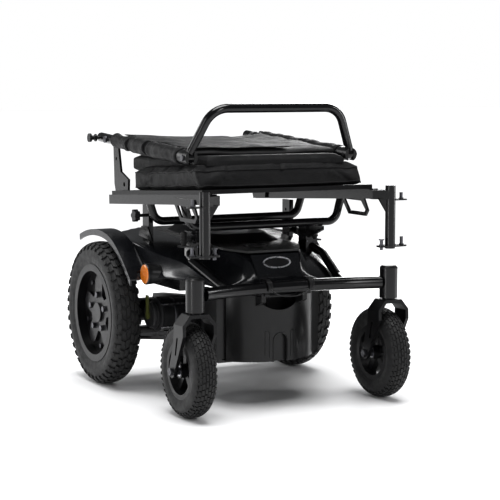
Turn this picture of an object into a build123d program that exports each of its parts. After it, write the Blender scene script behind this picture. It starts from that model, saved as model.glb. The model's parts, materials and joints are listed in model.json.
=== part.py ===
from build123d import *
import os
from math import cos, radians, sin, tan

os.makedirs("parts", exist_ok=True)

# Power wheelchair with its back folded onto the seat. The front of the chair is -Y, its left side +X.
# Origin: on the floor, on the symmetry plane, midway between the caster fronts and the drive tyre backs.

# ---- driving dimensions, mm ------------------------------------------------------------------
drive_r = 184.0             # drive tyre outer radius
drive_width = 70.0          # drive tyre section width
drive_rim_r = 118.0         # bead seat radius of the drive rim
drive_x = 276.4             # centre plane of each drive wheel
hub_shaft_r = 10.0

caster_r = 111.7            # caster tyre outer radius
caster_width = 56.0
caster_rim_r = 62.0
caster_x = 261.6            # swivel axis of each caster
caster_base = 521.8         # swivel axis ahead of the drive axle
caster_trail = 37.9         # caster axle behind its swivel axis
caster_axle_r = 6.0
stem_r = 10.0
housing_r = 22.2
housing_low = 252.5
housing_high = 331.4
front_tube_r = 15.0
front_tube_z = 291.0
front_tube_bow = 40.0       # how far the middle of the front tube lies behind its ends

rail_outer = 229.0          # outer face of each seat rail
rail_size = 24.0
rail_wall = 2.0
seat_tilt = 3.6             # degrees, front high
pan_front = 494.0           # front edge of the seat pan, ahead of the drive axle
pan_front_z = 528.0
pan_length = 542.0
pan_width = 459.0
pan_edge = 10.0
cushion_width = 459.0
cushion_length = 400.0
cushion_thick = 50.0
cushion_start = 21.0        # cushion front edge behind the pan's front edge
cushion_slant = 22.0        # the front face leans back by this much

post_r = 12.5               # back posts
fold_tilt = 3.4             # degrees, folded posts drop towards the front
pivot_behind = 80.0         # back pivot behind the drive axle
pivot_z = 627.0
post_front = 468.0          # post length ahead of the pivot
post_rear = 64.0            # post length behind the pivot
latch_arm = 51.0            # latch pin behind the pivot
back_upright = 100.0        # travel of the back from folded to upright, degrees
hinge_plate_t = 6.0
pivot_pin_r = 5.0
latch_pin_r = 4.0
push_bar_r = 10.5
push_bar_rise = 119.0
push_bar_lean = 14.6        # degrees, the bar leans forward
push_bar_top_x = 171.0      # where the leg and the top would meet without their corner
push_bar_corner = 60.0
clamp_pivot = 482.0         # push bar pivot ahead of the back pivot

hanger_x = 248.5            # footrest hanger posts
hanger_ahead = 546.9
hanger_r = 12.5
hanger_low = 375.8
hanger_high = 527.9
hanger_plate_in = 214.0
hanger_plate_out = 292.0
hanger_upper_z = 492.0
stud_r = 4.0

battery_size = (128.0, 145.0, 165.0)
battery_front = 380.0       # front face of the batteries ahead of the drive axle
motor_r = 39.0
motor_ahead = 190.0         # motor axis ahead of the drive axle
motor_z = 198.0
tray_z = 100.0
tray_t = 4.0
shell_wall = 3.5
light_x = 250.0             # outer face of each side light
light_z = 305.0
light_off_tyre = 62.3       # centre of the side light outside the tyre's crown
light_r = 24.0

# ---- clearances ------------------------------------------------------------------------------
running = 0.05              # radial gap of a turning fit
slip = 0.3                  # gap between neighbours that only sit close
free = 3.0                  # gap round a neighbour that vibrates or moves

# ---- derived places --------------------------------------------------------------------------
axle_y = (caster_base - caster_trail + caster_r - drive_r) / 2   # drive axle behind the origin
caster_axle_ahead = caster_base - caster_trail
rail_inner = rail_outer - rail_size
rail_mid = rail_outer - rail_size / 2
post_x = rail_inner + 0.5 + post_r
light_ahead = ((drive_r + light_off_tyre) ** 2 - (light_z - drive_r) ** 2) ** 0.5


def ahead(distance):
    """Y of a point this far ahead of the drive axle."""
    return axle_y - distance


def at_x(x):
    """Sketch plane across X: its first axis is Y, its second is Z."""
    return Plane.YZ.offset(x)


def at_y(y):
    """Sketch plane across Y: its first axis is X, its second is Z."""
    return Plane.XZ.offset(-y)


def at_z(z):
    return Plane.XY.offset(z)


def save(part, label):
    part.label = label
    export_step(part, f"parts/{label}.step")


def save_pair(part, name):
    """The left piece as built, and the right one mirrored from it."""
    save(part, name + "_left")
    save(mirror(part, about=Plane.YZ), name + "_right")


def both_sides(part):
    """One node that holds the left piece and its mirror image as separate solids."""
    return Compound(children=[*part.solids(), *mirror(part, about=Plane.YZ).solids()])


# planes that tilt with the seat and with the folded back
seat_plane = Plane(
    origin=(0, ahead(pan_front), pan_front_z),
    x_dir=(1, 0, 0),
    z_dir=(0, sin(radians(seat_tilt)), cos(radians(seat_tilt))),
)
fold_plane = Plane(
    origin=(0, ahead(-pivot_behind), pivot_z),
    x_dir=(1, 0, 0),
    z_dir=(0, -sin(radians(fold_tilt)), cos(radians(fold_tilt))),
)


def seat_section(behind):
    """Plane across the seat rails, this far behind the pan's front edge; extrude() runs forward."""
    origin = seat_plane.from_local_coords(Vector(0, behind, 0))
    return Plane(origin=origin, x_dir=(1, 0, 0), z_dir=-seat_plane.y_dir)


def fold_section(behind):
    """Plane across the folded posts, this far behind the pivot; extrude() runs forward."""
    origin = fold_plane.from_local_coords(Vector(0, behind, 0))
    return Plane(origin=origin, x_dir=(1, 0, 0), z_dir=-fold_plane.y_dir)


def pan_height(distance):
    """Height of the seat pan's top at this distance ahead of the drive axle."""
    return pan_front_z - (pan_front - distance) * tan(radians(seat_tilt))


def rail_bottom(distance):
    return pan_height(distance) - pan_edge - rail_size - 0.5


# ---- drive wheels ----------------------------------------------------------------------------
drive_axis = Axis((drive_x, axle_y, drive_r), (1, 0, 0))
bead_half = 27.0
tyre_wall = 9.0
flange_r = 126.0
flange_inner_r = drive_rim_r - 10.0
flange_t = 3.0
barrel_t = 5.0
web_t = 6.0
web_face = drive_x + 4.0                # outer face of the rim's web
hub_plate_t = 8.0
hub_plate_face = web_face + hub_plate_t
hub_boss_r = 22.0
lug_count = 5
lug_circle_r = 46.0
rim_bolt_circle_r = 88.0
lug_r = 4.0


def tyre_outline(x, axis_z, tyre_r, bead_r, half, bead, shoulder_drop):
    """Closed half-section of a tyre: crowned tread, bulged sides and flat bead."""
    tread_half = half * 0.8
    shoulder = axis_z + tyre_r - shoulder_drop
    middle = axis_z + (tyre_r - shoulder_drop + bead_r) / 2 + 3
    seat = axis_z + bead_r
    with BuildLine() as outline:
        tread = ThreePointArc((x - tread_half, shoulder), (x, axis_z + tyre_r), (x + tread_half, shoulder))
        side = ThreePointArc(tread @ 1, (x + half, middle), (x + bead, seat + 8))
        Polyline(side @ 1, (x + bead, seat), (x - bead, seat), (x - bead, seat + 8))
        ThreePointArc((x - bead, seat + 8), (x - half, middle), tread @ 0)
    return outline.line


def make_drive_tyre():
    mid_r = (drive_r + drive_rim_r) / 2 - 1
    with BuildPart() as drive_tyre:
        with BuildSketch(at_y(axle_y)):
            add(tyre_outline(drive_x, drive_r, drive_r, drive_rim_r, drive_width / 2, bead_half, 8))
            make_face()
            with Locations((drive_x, drive_r + mid_r)):
                hollow = 2 * (drive_r - mid_r) - 24
                RectangleRounded(drive_width - 2 * tyre_wall, hollow, 12, mode=Mode.SUBTRACT)
            with Locations((drive_x, drive_r + drive_rim_r + tyre_wall)):
                Rectangle(2 * (bead_half - tyre_wall), 2 * tyre_wall, mode=Mode.SUBTRACT)
        revolve(axis=drive_axis)
    return drive_tyre.part


def make_drive_rim():
    """Barrel, two flanges and a web that is drilled for the hub plate and the rim bolts."""
    flange_mid_r = (flange_r + flange_inner_r) / 2
    with BuildPart() as drive_rim:
        with BuildSketch(at_y(axle_y)):
            with Locations((drive_x, drive_r + drive_rim_r - barrel_t / 2)):
                Rectangle(2 * bead_half, barrel_t)
            for end in (-1, 1):
                with Locations((drive_x + end * (bead_half + flange_t / 2), drive_r + flange_mid_r)):
                    Rectangle(flange_t, flange_r - flange_inner_r)
            with Locations((web_face - web_t / 2, drive_r + (drive_rim_r + hub_boss_r) / 2)):
                Rectangle(web_t, drive_rim_r - hub_boss_r)
        revolve(axis=drive_axis)
        with BuildSketch(at_x(web_face)):
            with Locations((axle_y, drive_r)):
                with PolarLocations(lug_circle_r, lug_count, start_angle=90):
                    Circle(lug_r + slip)
                with PolarLocations(rim_bolt_circle_r, lug_count, start_angle=90 + 180 / lug_count):
                    Circle(lug_r + slip)
        extrude(amount=-web_t, mode=Mode.SUBTRACT)
    return drive_rim.part


def make_drive_hub():
    """Five-lobed plate with its boss and the keyed shaft that runs in the gear case."""
    lobe_reach = 97.0
    lobe_width = 46.0
    lobe_start = 28.0
    back = hub_plate_face - hub_plate_t
    with BuildPart() as drive_hub:
        with BuildSketch(at_x(hub_plate_face)):
            with Locations((axle_y, drive_r)):
                Circle(50)
                with PolarLocations((lobe_reach + lobe_start) / 2, lug_count, start_angle=90):
                    SlotOverall(lobe_reach - lobe_start, lobe_width)
                with PolarLocations(lug_circle_r, lug_count, start_angle=90):
                    Circle(lug_r + slip, mode=Mode.SUBTRACT)
        extrude(amount=-hub_plate_t)
        with BuildSketch(at_x(hub_plate_face)):
            with Locations((axle_y, drive_r)):
                Circle(25)
        extrude(amount=6)
        with BuildSketch(at_x(back)):
            with Locations((axle_y, drive_r)):
                Circle(hub_boss_r - slip)
        extrude(amount=-27)
        with BuildSketch(at_x(back)):
            with Locations((axle_y, drive_r)):
                Circle(hub_shaft_r)
        extrude(amount=gear_case_in + 6 - back)
    return drive_hub.part


def make_lug_nuts():
    """Five nuts on the hub plate and five bolts that hold the rim halves."""
    with BuildPart() as lug_nuts:
        for circle_r, turn, face, size, high in (
            (lug_circle_r, 90, hub_plate_face, 8, 8),
            (rim_bolt_circle_r, 90 + 180 / lug_count, web_face, 6.5, 6),
        ):
            with BuildSketch(at_x(face)):
                with Locations((axle_y, drive_r)):
                    with PolarLocations(circle_r, lug_count, start_angle=turn):
                        RegularPolygon(size, 6)
            extrude(amount=high)
            with BuildSketch(at_x(face)):
                with Locations((axle_y, drive_r)):
                    with PolarLocations(circle_r, lug_count, start_angle=turn):
                        Circle(lug_r)
            extrude(amount=web_face - web_t - face)
    return lug_nuts.part


# ---- casters ---------------------------------------------------------------------------------
caster_y = ahead(caster_axle_ahead)
stem_y = ahead(caster_base)
caster_axis = Axis((caster_x, caster_y, caster_r), (1, 0, 0))
fork_t = 8.0
fork_in = caster_width / 2 + 7          # inner face of each fork leg, from the wheel's plane
fork_out = fork_in + fork_t
fork_top = housing_low - 4
fork_depth = 46.0
caster_hub_r = 17.0
caster_hub_half = 24.0
ball_bearing_r = 13.0
ball_bearing_w = 9.0
stem_bearing_r = 16.0
stem_bearing_h = 12.0
cap_h = 8.0


def make_caster_tyre():
    mid_r = (caster_r + caster_rim_r) / 2 - 1
    half = caster_width / 2
    with BuildPart() as caster_tyre:
        with BuildSketch(at_y(caster_y)):
            add(tyre_outline(caster_x, caster_r, caster_r, caster_rim_r, half, half - 6, 8))
            make_face()
            with Locations((caster_x, caster_r + mid_r)):
                RectangleRounded(caster_width - 15, 2 * (caster_r - mid_r) - 18, 9, mode=Mode.SUBTRACT)
            with Locations((caster_x, caster_r + caster_rim_r + 6)):
                Rectangle(caster_width - 30, 14, mode=Mode.SUBTRACT)
        revolve(axis=caster_axis)
    return caster_tyre.part


def make_caster_rim():
    """Barrel, hub and five spokes in one moulding."""
    half = caster_width / 2 - 6
    barrel = 6.0
    spoke_in = caster_hub_r - 1
    spoke_out = caster_rim_r - barrel + 1
    with BuildPart() as caster_rim:
        with BuildSketch(at_y(caster_y)):
            with Locations((caster_x, caster_r + caster_rim_r - barrel / 2)):
                Rectangle(2 * half, barrel)
            for end in (-1, 1):
                with Locations((caster_x + end * (half + 1.25), caster_r + caster_rim_r)):
                    Rectangle(2.5, 2 * barrel)
            with Locations((caster_x, caster_r + (caster_hub_r + ball_bearing_r) / 2)):
                Rectangle(2 * caster_hub_half, caster_hub_r - ball_bearing_r)
        revolve(axis=caster_axis)
        with BuildSketch(at_x(caster_x)):
            with Locations((caster_y, caster_r)):
                with PolarLocations((spoke_in + spoke_out) / 2, 5, start_angle=90):
                    Rectangle(spoke_out - spoke_in, 15)
        extrude(amount=9, both=True)
    return caster_rim.part


def make_caster_bearings():
    """Two ball bearings, as closed rings, in the ends of the caster hub."""
    with BuildPart() as caster_bearings:
        for end in (-1, 1):
            with BuildSketch(at_x(caster_x + end * (caster_hub_half - ball_bearing_w / 2))):
                with Locations((caster_y, caster_r)):
                    Circle(ball_bearing_r)
                    Circle(caster_axle_r + running, mode=Mode.SUBTRACT)
            extrude(amount=ball_bearing_w / 2, both=True)
    return caster_bearings.part


def make_caster_fork():
    """Bent-plate fork, octagonal over the wheel, with flat tapered legs, a slot in each, and the stem."""
    corner = 24.0
    foot = caster_r - 20
    slope = corner * 0.8
    eye = 15.0
    front = stem_y - fork_depth / 2
    back = stem_y + fork_depth / 2
    with BuildPart() as caster_fork:
        with BuildSketch(at_y(stem_y)):
            with BuildLine():
                Polyline(
                    (caster_x - fork_out, foot),
                    (caster_x - fork_out, fork_top - corner),
                    (caster_x - fork_out + slope, fork_top),
                    (caster_x + fork_out - slope, fork_top),
                    (caster_x + fork_out, fork_top - corner),
                    (caster_x + fork_out, foot),
                    (caster_x + fork_in, foot),
                    (caster_x + fork_in, fork_top - corner - 3),
                    (caster_x + fork_out - slope - 4, fork_top - fork_t),
                    (caster_x - fork_out + slope + 4, fork_top - fork_t),
                    (caster_x - fork_in, fork_top - corner - 3),
                    (caster_x - fork_in, foot),
                    close=True,
                )
            make_face()
        extrude(amount=120, both=True)
        # side outline of the legs, wide at the bridge and narrow at the axle
        with BuildSketch(at_x(caster_x)):
            with BuildLine():
                Polyline(
                    (front, fork_top + 1),
                    (back, fork_top + 1),
                    (back + 4, caster_r + 74),
                    (caster_y + eye, caster_r),
                    (caster_y - eye, caster_r),
                    (front - 2, caster_r + 89),
                    close=True,
                )
            make_face()
            with Locations((caster_y, caster_r)):
                Circle(eye)
                Circle(caster_axle_r + slip, mode=Mode.SUBTRACT)
            with Locations((stem_y + 11, caster_r + 62)):
                SlotOverall(44, 7, rotation=104, mode=Mode.SUBTRACT)
        extrude(amount=fork_out + 1, both=True, mode=Mode.INTERSECT)
        for radius, high in ((stem_r + 5, 3), (stem_r, housing_high - cap_h - 6 - fork_top)):
            with BuildSketch(at_z(fork_top)):
                with Locations((caster_x, stem_y)):
                    Circle(radius)
            extrude(amount=high)
    return caster_fork.part


def make_caster_axle():
    """Axle bolt with head and nut outside the fork legs, and two spacers inside them."""
    gap = fork_in - caster_hub_half
    with BuildPart() as caster_axle:
        with BuildSketch(at_x(caster_x)):
            with Locations((caster_y, caster_r)):
                Circle(caster_axle_r)
        extrude(amount=fork_out + 3, both=True)
        for end in (-1, 1):
            with BuildSketch(at_x(caster_x + end * (fork_out + 3))):
                with Locations((caster_y, caster_r)):
                    RegularPolygon(9.5, 6)
            extrude(amount=3, both=True)
            with BuildSketch(at_x(caster_x + end * (caster_hub_half + (gap + slip) / 2))):
                with Locations((caster_y, caster_r)):
                    Circle(caster_axle_r + 3)
            extrude(amount=(gap - slip) / 2, both=True)
    return caster_axle.part


def make_caster_housing():
    """Stem housing, bored through for its two bearings."""
    with BuildPart() as caster_housing:
        with BuildSketch(at_z(housing_low)):
            with Locations((caster_x, stem_y)):
                Circle(housing_r)
                Circle(stem_bearing_r, mode=Mode.SUBTRACT)
        extrude(amount=housing_high - housing_low - cap_h)
    return caster_housing.part


def make_stem_cap():
    """Chamfered dust cap that closes the housing."""
    with BuildPart() as stem_cap:
        with BuildSketch(at_z(housing_high - cap_h)):
            with Locations((caster_x, stem_y)):
                Circle(housing_r)
        extrude(amount=cap_h)
        chamfer(stem_cap.edges().filter_by(GeomType.CIRCLE).sort_by(Axis.Z)[-1], 5)
    return stem_cap.part


def make_stem_bearings():
    with BuildPart() as stem_bearings:
        for low in (housing_low + 4, housing_high - cap_h - 2 * stem_bearing_h):
            with BuildSketch(at_z(low)):
                with Locations((caster_x, stem_y)):
                    Circle(stem_bearing_r)
                    Circle(stem_r + running, mode=Mode.SUBTRACT)
            extrude(amount=stem_bearing_h)
    return stem_bearings.part


# ---- chassis ---------------------------------------------------------------------------------
upper_rail_x = 186.0
upper_rail_w = 22.0
upper_rail_z = 270.0
upper_rail_h = 26.0
upper_rail_top = upper_rail_z + upper_rail_h
frame_rear = 70.0           # the frame ends this far behind the drive axle
frame_front = 300.0         # the upper rails end this far ahead of it
member_t = 24.0
tray_half = battery_size[0] + 6.5
tray_wall = 3.0
tray_rim = 22.0
tray_rear = battery_front - battery_size[1] - 2
spine_half = 65.0
spine_h = 29.0
front_post_x = tray_half + 14
gear_case_in = 92.0
gear_case_out = 122.0
output_tube_r = 30.0
motor_out = 208.0
brake_out = 232.0
front_tube_end_x = caster_x - housing_r
strut_r = 11.0
strut_foot_x = 151.0


def front_tube_y(x):
    """Centre of the bowed tube at this distance from the symmetry plane."""
    return stem_y - 2 + front_tube_bow * (1 - (x / front_tube_end_x) ** 2)


def strut_path(side):
    """Centre line of the bent strut from the upright's front down to the front tube."""
    return FilletPolyline(
        (side * strut_foot_x, front_tube_y(strut_foot_x), front_tube_z),
        (side * 160, ahead(452), 301),
        (side * 182, ahead(338), 348),
        (side * (upright_x + 10), ahead(upright_ahead + 18), 362),
        radius=24,
    )


def make_front_tube():
    """Bowed tube between the stem housings, coped round them, with its two welded struts."""
    with BuildPart() as front_tube:
        with BuildLine():
            bow = ThreePointArc(
                (-front_tube_end_x, front_tube_y(front_tube_end_x), front_tube_z),
                (0, front_tube_y(0), front_tube_z),
                (front_tube_end_x, front_tube_y(front_tube_end_x), front_tube_z),
            )
        with BuildSketch(Plane(origin=bow @ 0, z_dir=bow % 0)):
            Circle(front_tube_r)
        sweep()
        with BuildSketch(at_z(front_tube_z - front_tube_r - 5)):
            with Locations((caster_x, stem_y), (-caster_x, stem_y)):
                Circle(housing_r)
        extrude(amount=2 * front_tube_r + 10, mode=Mode.SUBTRACT)
        # struts up over the shroud's wings to the uprights
        for side in (-1, 1):
            with BuildLine() as path:
                strut_path(side)
            with BuildSketch(Plane(origin=path.line @ 0, z_dir=path.line % 0)):
                Circle(strut_r)
            sweep()
        with BuildSketch(at_z(upper_rail_top)):
            with Locations((upright_x, ahead(upright_ahead)), (-upright_x, ahead(upright_ahead))):
                Rectangle(upright_w, upright_d)
        extrude(amount=upright_high - upper_rail_top, mode=Mode.SUBTRACT)
    return front_tube.part


def make_chassis_frame():
    """Battery tray, spine, upper rails, posts, cross members and motor arms, welded into one."""
    arm_tip = spine_half + 148
    arm_t = 5.0
    arm_z = tray_z + spine_h - arm_t
    spine_t = 4.0
    tray_length = battery_front + 4 - tray_rear
    tray_middle = ahead(tray_rear + tray_length / 2)
    with BuildPart() as chassis_frame:
        with BuildSketch(at_z(tray_z)):
            with Locations((0, tray_middle)):
                Rectangle(2 * tray_half, tray_length)
        extrude(amount=tray_rim)
        with BuildSketch(at_z(tray_z + tray_t)):
            with Locations((0, tray_middle)):
                Rectangle(2 * (tray_half - tray_wall), tray_length - 2)
        extrude(amount=tray_rim, mode=Mode.SUBTRACT)
        # narrow spine back between the gear cases
        with BuildSketch(at_z(tray_z)):
            with Locations((0, ahead((tray_rear - frame_rear) / 2))):
                Rectangle(2 * spine_half, tray_rear + frame_rear)
        extrude(amount=spine_h)
        with BuildSketch(at_z(tray_z + spine_t)):
            with Locations((0, ahead((tray_rear - frame_rear) / 2))):
                Rectangle(2 * (spine_half - spine_t), tray_rear + frame_rear - 2 * spine_t)
        extrude(amount=spine_h - 2 * spine_t, mode=Mode.SUBTRACT)
        # rear cross member
        with BuildSketch(at_z(tray_z)):
            with Locations((0, ahead(-frame_rear) - member_t / 2)):
                Rectangle(2 * upper_rail_x + upper_rail_w, member_t)
        extrude(amount=spine_h)
        # cross members at the top, under the controller and at the rear
        with BuildSketch(at_z(upper_rail_z)):
            with Locations((0, ahead(130)), (0, ahead(-frame_rear) - member_t / 2)):
                Rectangle(2 * upper_rail_x, member_t)
        extrude(amount=upper_rail_h)
        for side in (-1, 1):
            with BuildSketch(at_z(upper_rail_z)):
                with Locations((side * upper_rail_x, ahead((frame_front - frame_rear) / 2))):
                    Rectangle(upper_rail_w, frame_front + frame_rear)
                with Locations((side * (front_post_x + upper_rail_x) / 2, ahead(frame_front) + member_t / 2)):
                    Rectangle(upper_rail_x - front_post_x, member_t)
            extrude(amount=upper_rail_h)
            with BuildSketch(at_z(tray_z)):
                with Locations((side * upper_rail_x, ahead(-frame_rear) - member_t / 2)):
                    Rectangle(upper_rail_w, member_t)
                with Locations((side * front_post_x, ahead(frame_front) + member_t / 2)):
                    Rectangle(12, member_t)
            extrude(amount=upper_rail_top - tray_z)
            with BuildSketch(at_z(tray_z)):
                with Locations((side * (tray_half + front_post_x) / 2, ahead(frame_front) + member_t / 2)):
                    Rectangle(front_post_x - tray_half + 8, member_t)
            extrude(amount=tray_t)
            # tapered arm under the motor with an upright rib and an eye
            with BuildSketch(at_z(arm_z)):
                with BuildLine():
                    Polyline(
                        (side * (spine_half - 1), ahead(190)),
                        (side * (spine_half - 1), ahead(50)),
                        (side * arm_tip, ahead(50)),
                        (side * arm_tip, ahead(84)),
                        close=True,
                    )
                make_face()
            extrude(amount=arm_t)
            with BuildSketch(at_y(ahead(50))):
                with BuildLine():
                    Polyline(
                        (side * (spine_half - 1), tray_z + 2),
                        (side * arm_tip, arm_z - 8),
                        (side * arm_tip, arm_z + 1),
                        (side * (spine_half - 1), arm_z + 1),
                        close=True,
                    )
                make_face()
            extrude(amount=arm_t)
            with BuildSketch(at_x(side * (arm_tip - 4))):
                with Locations((ahead(68), arm_z + 12)):
                    Circle(10)
                    Circle(4, mode=Mode.SUBTRACT)
            extrude(amount=4, both=True)
    return chassis_frame.part


def make_gearmotor():
    """Gear case, output tube, motor and brake bolted up as one, bored for the hub shaft."""
    motor_y = ahead(motor_ahead)
    with BuildPart() as gearmotor:
        with BuildSketch(at_x(gear_case_in)):
            with BuildLine():
                Polyline(
                    (axle_y + 30, drive_r - 36),
                    (axle_y + 44, drive_r),
                    (axle_y + 30, drive_r + 36),
                    (motor_y - 20, motor_z + 44),
                    (motor_y - 42, motor_z),
                    (motor_y - 20, motor_z - 44),
                    close=True,
                )
            make_face()
        extrude(amount=gear_case_out - gear_case_in)
        for start, end, y, z, radius in (
            (gear_case_out, drive_x - bead_half - 14, axle_y, drive_r, output_tube_r),
            (gear_case_out, motor_out, motor_y, motor_z, motor_r),
            (motor_out - 12, motor_out, motor_y, motor_z, motor_r + 2),
            (motor_out, brake_out, motor_y, motor_z, motor_r - 9),
        ):
            with BuildSketch(at_x(start)):
                with Locations((y, z)):
                    Circle(radius)
            extrude(amount=end - start)
        with BuildSketch(at_x(gear_case_in - 1)):
            with Locations((axle_y, drive_r)):
                Circle(hub_shaft_r + running)
        extrude(amount=drive_x, mode=Mode.SUBTRACT)
        with BuildSketch(at_x(brake_out - 10)):
            with Locations((motor_y, motor_z)):
                Circle(4 + running)
        extrude(amount=20, mode=Mode.SUBTRACT)
    return gearmotor.part


def make_freewheel_lever():
    """Brake release lever on a short pin at the end of the brake."""
    motor_y = ahead(motor_ahead)
    with BuildPart() as freewheel_lever:
        with BuildSketch(at_x(brake_out + slip)):
            with Locations((motor_y, motor_z)):
                Circle(10)
            with BuildLine():
                Polyline(
                    (motor_y - 6, motor_z),
                    (motor_y + 6, motor_z),
                    (motor_y + 8, motor_z + 50),
                    (motor_y - 4, motor_z + 50),
                    close=True,
                )
            make_face()
        extrude(amount=4)
        with BuildSketch(at_x(brake_out + slip)):
            with Locations((motor_y, motor_z)):
                Circle(4)
        extrude(amount=-8 - slip)
    return freewheel_lever.part


def make_batteries():
    wide, long, high = battery_size
    middle = ahead(battery_front - long / 2)
    terminal_h = 8.0
    with BuildPart() as batteries:
        for side in (-1, 1):
            with BuildSketch(at_z(tray_z + tray_t)):
                with Locations((side * (wide / 2 + 1), middle)):
                    Rectangle(wide, long)
            extrude(amount=high - terminal_h)
            with BuildSketch(at_z(tray_z + tray_t + high - terminal_h)):
                with Locations((side * 24, middle + 50), (side * (wide - 22), middle + 50)):
                    Rectangle(14, 14)
            extrude(amount=terminal_h)
    return batteries.part


def make_controller():
    """Motor controller with cooling fins, on the upper cross member."""
    with BuildPart() as controller:
        with BuildSketch(at_z(upper_rail_top)):
            with Locations((0, ahead(130))):
                RectangleRounded(190, 130, 8)
        extrude(amount=26)
        with BuildSketch(at_z(upper_rail_top + 26)):
            with Locations((0, ahead(130))):
                with GridLocations(0, 14, 1, 8):
                    Rectangle(170, 4)
        extrude(amount=10)
    return controller.part


# ---- covers ----------------------------------------------------------------------------------
# Stations of the base shroud: distance ahead of the drive axle, then (x, z) of the top's edge, of
# the facet below it, of the ridge and of the skirt.
shroud_stations = (
    (-86, (140, 392), (185, 384), (232, 374), (236, 300)),
    (40, (145, 386), (188, 382), (236, 380), (238, 300)),
    (150, (140, 380), (178, 376), (236, 367), (238, 297)),
    (215, (125, 376), (160, 369), (213, 350), (235, 296)),
    (306, (112, 372), (132, 358), (185, 337), (212, 300)),
    (356, (110, 369), (116, 357), (183, 322), (194, 299)),
    (415, (72, 366), (98, 327), (171, 302), (173, 295)),
    (443, (62, 312), (92, 301), (150, 291), (152, 286)),
)
lid_slope = 2.97            # degrees, the flat top falls towards the front
lid_plane = Plane(
    origin=(0, ahead(424), 366.4),
    x_dir=(1, 0, 0),
    z_dir=(0, -sin(radians(lid_slope)), cos(radians(lid_slope))),
)
nose_slope = 62.6           # degrees between the nose and the floor
nose_plane = Plane(
    origin=(0, ahead(443), 312),
    x_dir=(1, 0, 0),
    z_dir=(0, -sin(radians(nose_slope)), cos(radians(nose_slope))),
)
column_x = 206.0
column_w = 20.0
column_d = 38.0
column_ahead = 122.0
column_foot_z = 374.0
upright_x = 160.0
upright_w = 17.0
upright_d = 40.0
upright_ahead = 288.0
upright_high = 414.0
cover_half = 141.0
cover_low = tray_z + tray_t + 1
cover_high = 266.0
cover_wall = 4.0
cover_hook_x = 56.0
fender_in = 238.5
fender_out = 287.0


def shroud_solid(inset, drop, grow):
    """Ruled loft through the stations, shrunk by inset; drop lowers its skirt, grow lengthens it."""
    last = len(shroud_stations) - 1
    with BuildPart() as solid:
        for index, (distance, top, facet, ridge, skirt) in enumerate(shroud_stations):
            shift = grow if index == last else (-grow if index == 0 else 0)
            right = [
                (top[0] - 0.4 * inset, top[1] - inset),
                (facet[0] - 0.7 * inset, facet[1] - inset),
                (ridge[0] - 1.3 * inset, ridge[1] - 0.8 * inset),
                (skirt[0] - 1.3 * inset, skirt[1] - drop),
            ]
            left = [(-x, z) for x, z in reversed(right)]
            with BuildSketch(at_y(ahead(distance + shift))):
                with BuildLine():
                    Polyline(*right, *left, close=True)
                make_face()
        loft(ruled=True)
    return solid.part


def make_base_shroud():
    """Moulded shell over the chassis, open below, with windows for the columns and uprights."""
    outer = shroud_solid(0, 0, 0)
    inner = shroud_solid(shell_wall, 12, -shell_wall)
    with BuildPart() as base_shroud:
        add(outer)
        add(inner, mode=Mode.SUBTRACT)
        with BuildSketch(at_z(upper_rail_top + 15)):
            for side in (-1, 1):
                with Locations((side * (column_x - 4), ahead(column_ahead))):
                    Rectangle(column_w - 8 + 2 * free, column_d + 2 * free)
                with Locations((side * upright_x, ahead(upright_ahead))):
                    Rectangle(upright_w + 2 * free, upright_d + 2 * free)
        extrude(amount=150, mode=Mode.SUBTRACT)
        # openings that the side lights sit in
        add(both_sides(make_light_housing()), mode=Mode.SUBTRACT)
    return base_shroud.part


def make_shroud_lid():
    """Lid on the sloping flat top, with a raised back and an oval pull."""
    front_half = 70.0
    rear_half = 106.0
    length = 470.0
    with BuildPart() as shroud_lid:
        with BuildSketch(lid_plane):
            with BuildLine():
                Polyline(
                    (-front_half, 8),
                    (front_half, 8),
                    (rear_half, 70),
                    (rear_half, length),
                    (-rear_half, length),
                    (-rear_half, 70),
                    close=True,
                )
            make_face()
        extrude(amount=5)
        with BuildSketch(lid_plane.offset(5)):
            with Locations((0, 290)):
                RectangleRounded(196, 300, 34)
        with BuildSketch(lid_plane.offset(22)):
            with Locations((0, 300)):
                RectangleRounded(150, 250, 30)
        loft()
        with BuildSketch(lid_plane.offset(5)):
            with Locations((-10, 84)):
                Ellipse(34, 22)
                Ellipse(27, 15, mode=Mode.SUBTRACT)
        extrude(amount=3)
    return shroud_lid.part


def make_nose_panel():
    """Flat panel on the slanted nose."""
    with BuildPart() as nose_panel:
        with BuildSketch(nose_plane.offset(0.2)):
            with BuildLine():
                Polyline((-59, 4), (59, 4), (66, 55), (-66, 55), close=True)
            make_face()
        extrude(amount=3)
    return nose_panel.part


def make_badge():
    """Plain oval badge with a raised rim."""
    with BuildPart() as badge:
        with BuildSketch(nose_plane.offset(3.2)):
            with Locations((0, 33)):
                Ellipse(38, 15)
        extrude(amount=2.5)
        with BuildSketch(nose_plane.offset(3.2 + 1.2)):
            with Locations((0, 33)):
                Ellipse(34.5, 12)
        extrude(amount=3, mode=Mode.SUBTRACT)
    return badge.part


def cover_outline(inset):
    """Plan of the battery cover: straight sides, a small shoulder and a bulged front."""
    shoulder = ahead(battery_front + 8) + inset
    half = cover_half - inset
    bulge_half = cover_half - 22 - inset
    root = shoulder - 8
    with BuildLine() as outline:
        Polyline(
            (-bulge_half, root),
            (-bulge_half, shoulder),
            (-half, shoulder),
            (-half, ahead(tray_rear)),
            (half, ahead(tray_rear)),
            (half, shoulder),
            (bulge_half, shoulder),
            (bulge_half, root),
        )
        ThreePointArc((bulge_half, root), (0, ahead(battery_front + 72) + inset), (-bulge_half, root))
    return outline.line


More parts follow.
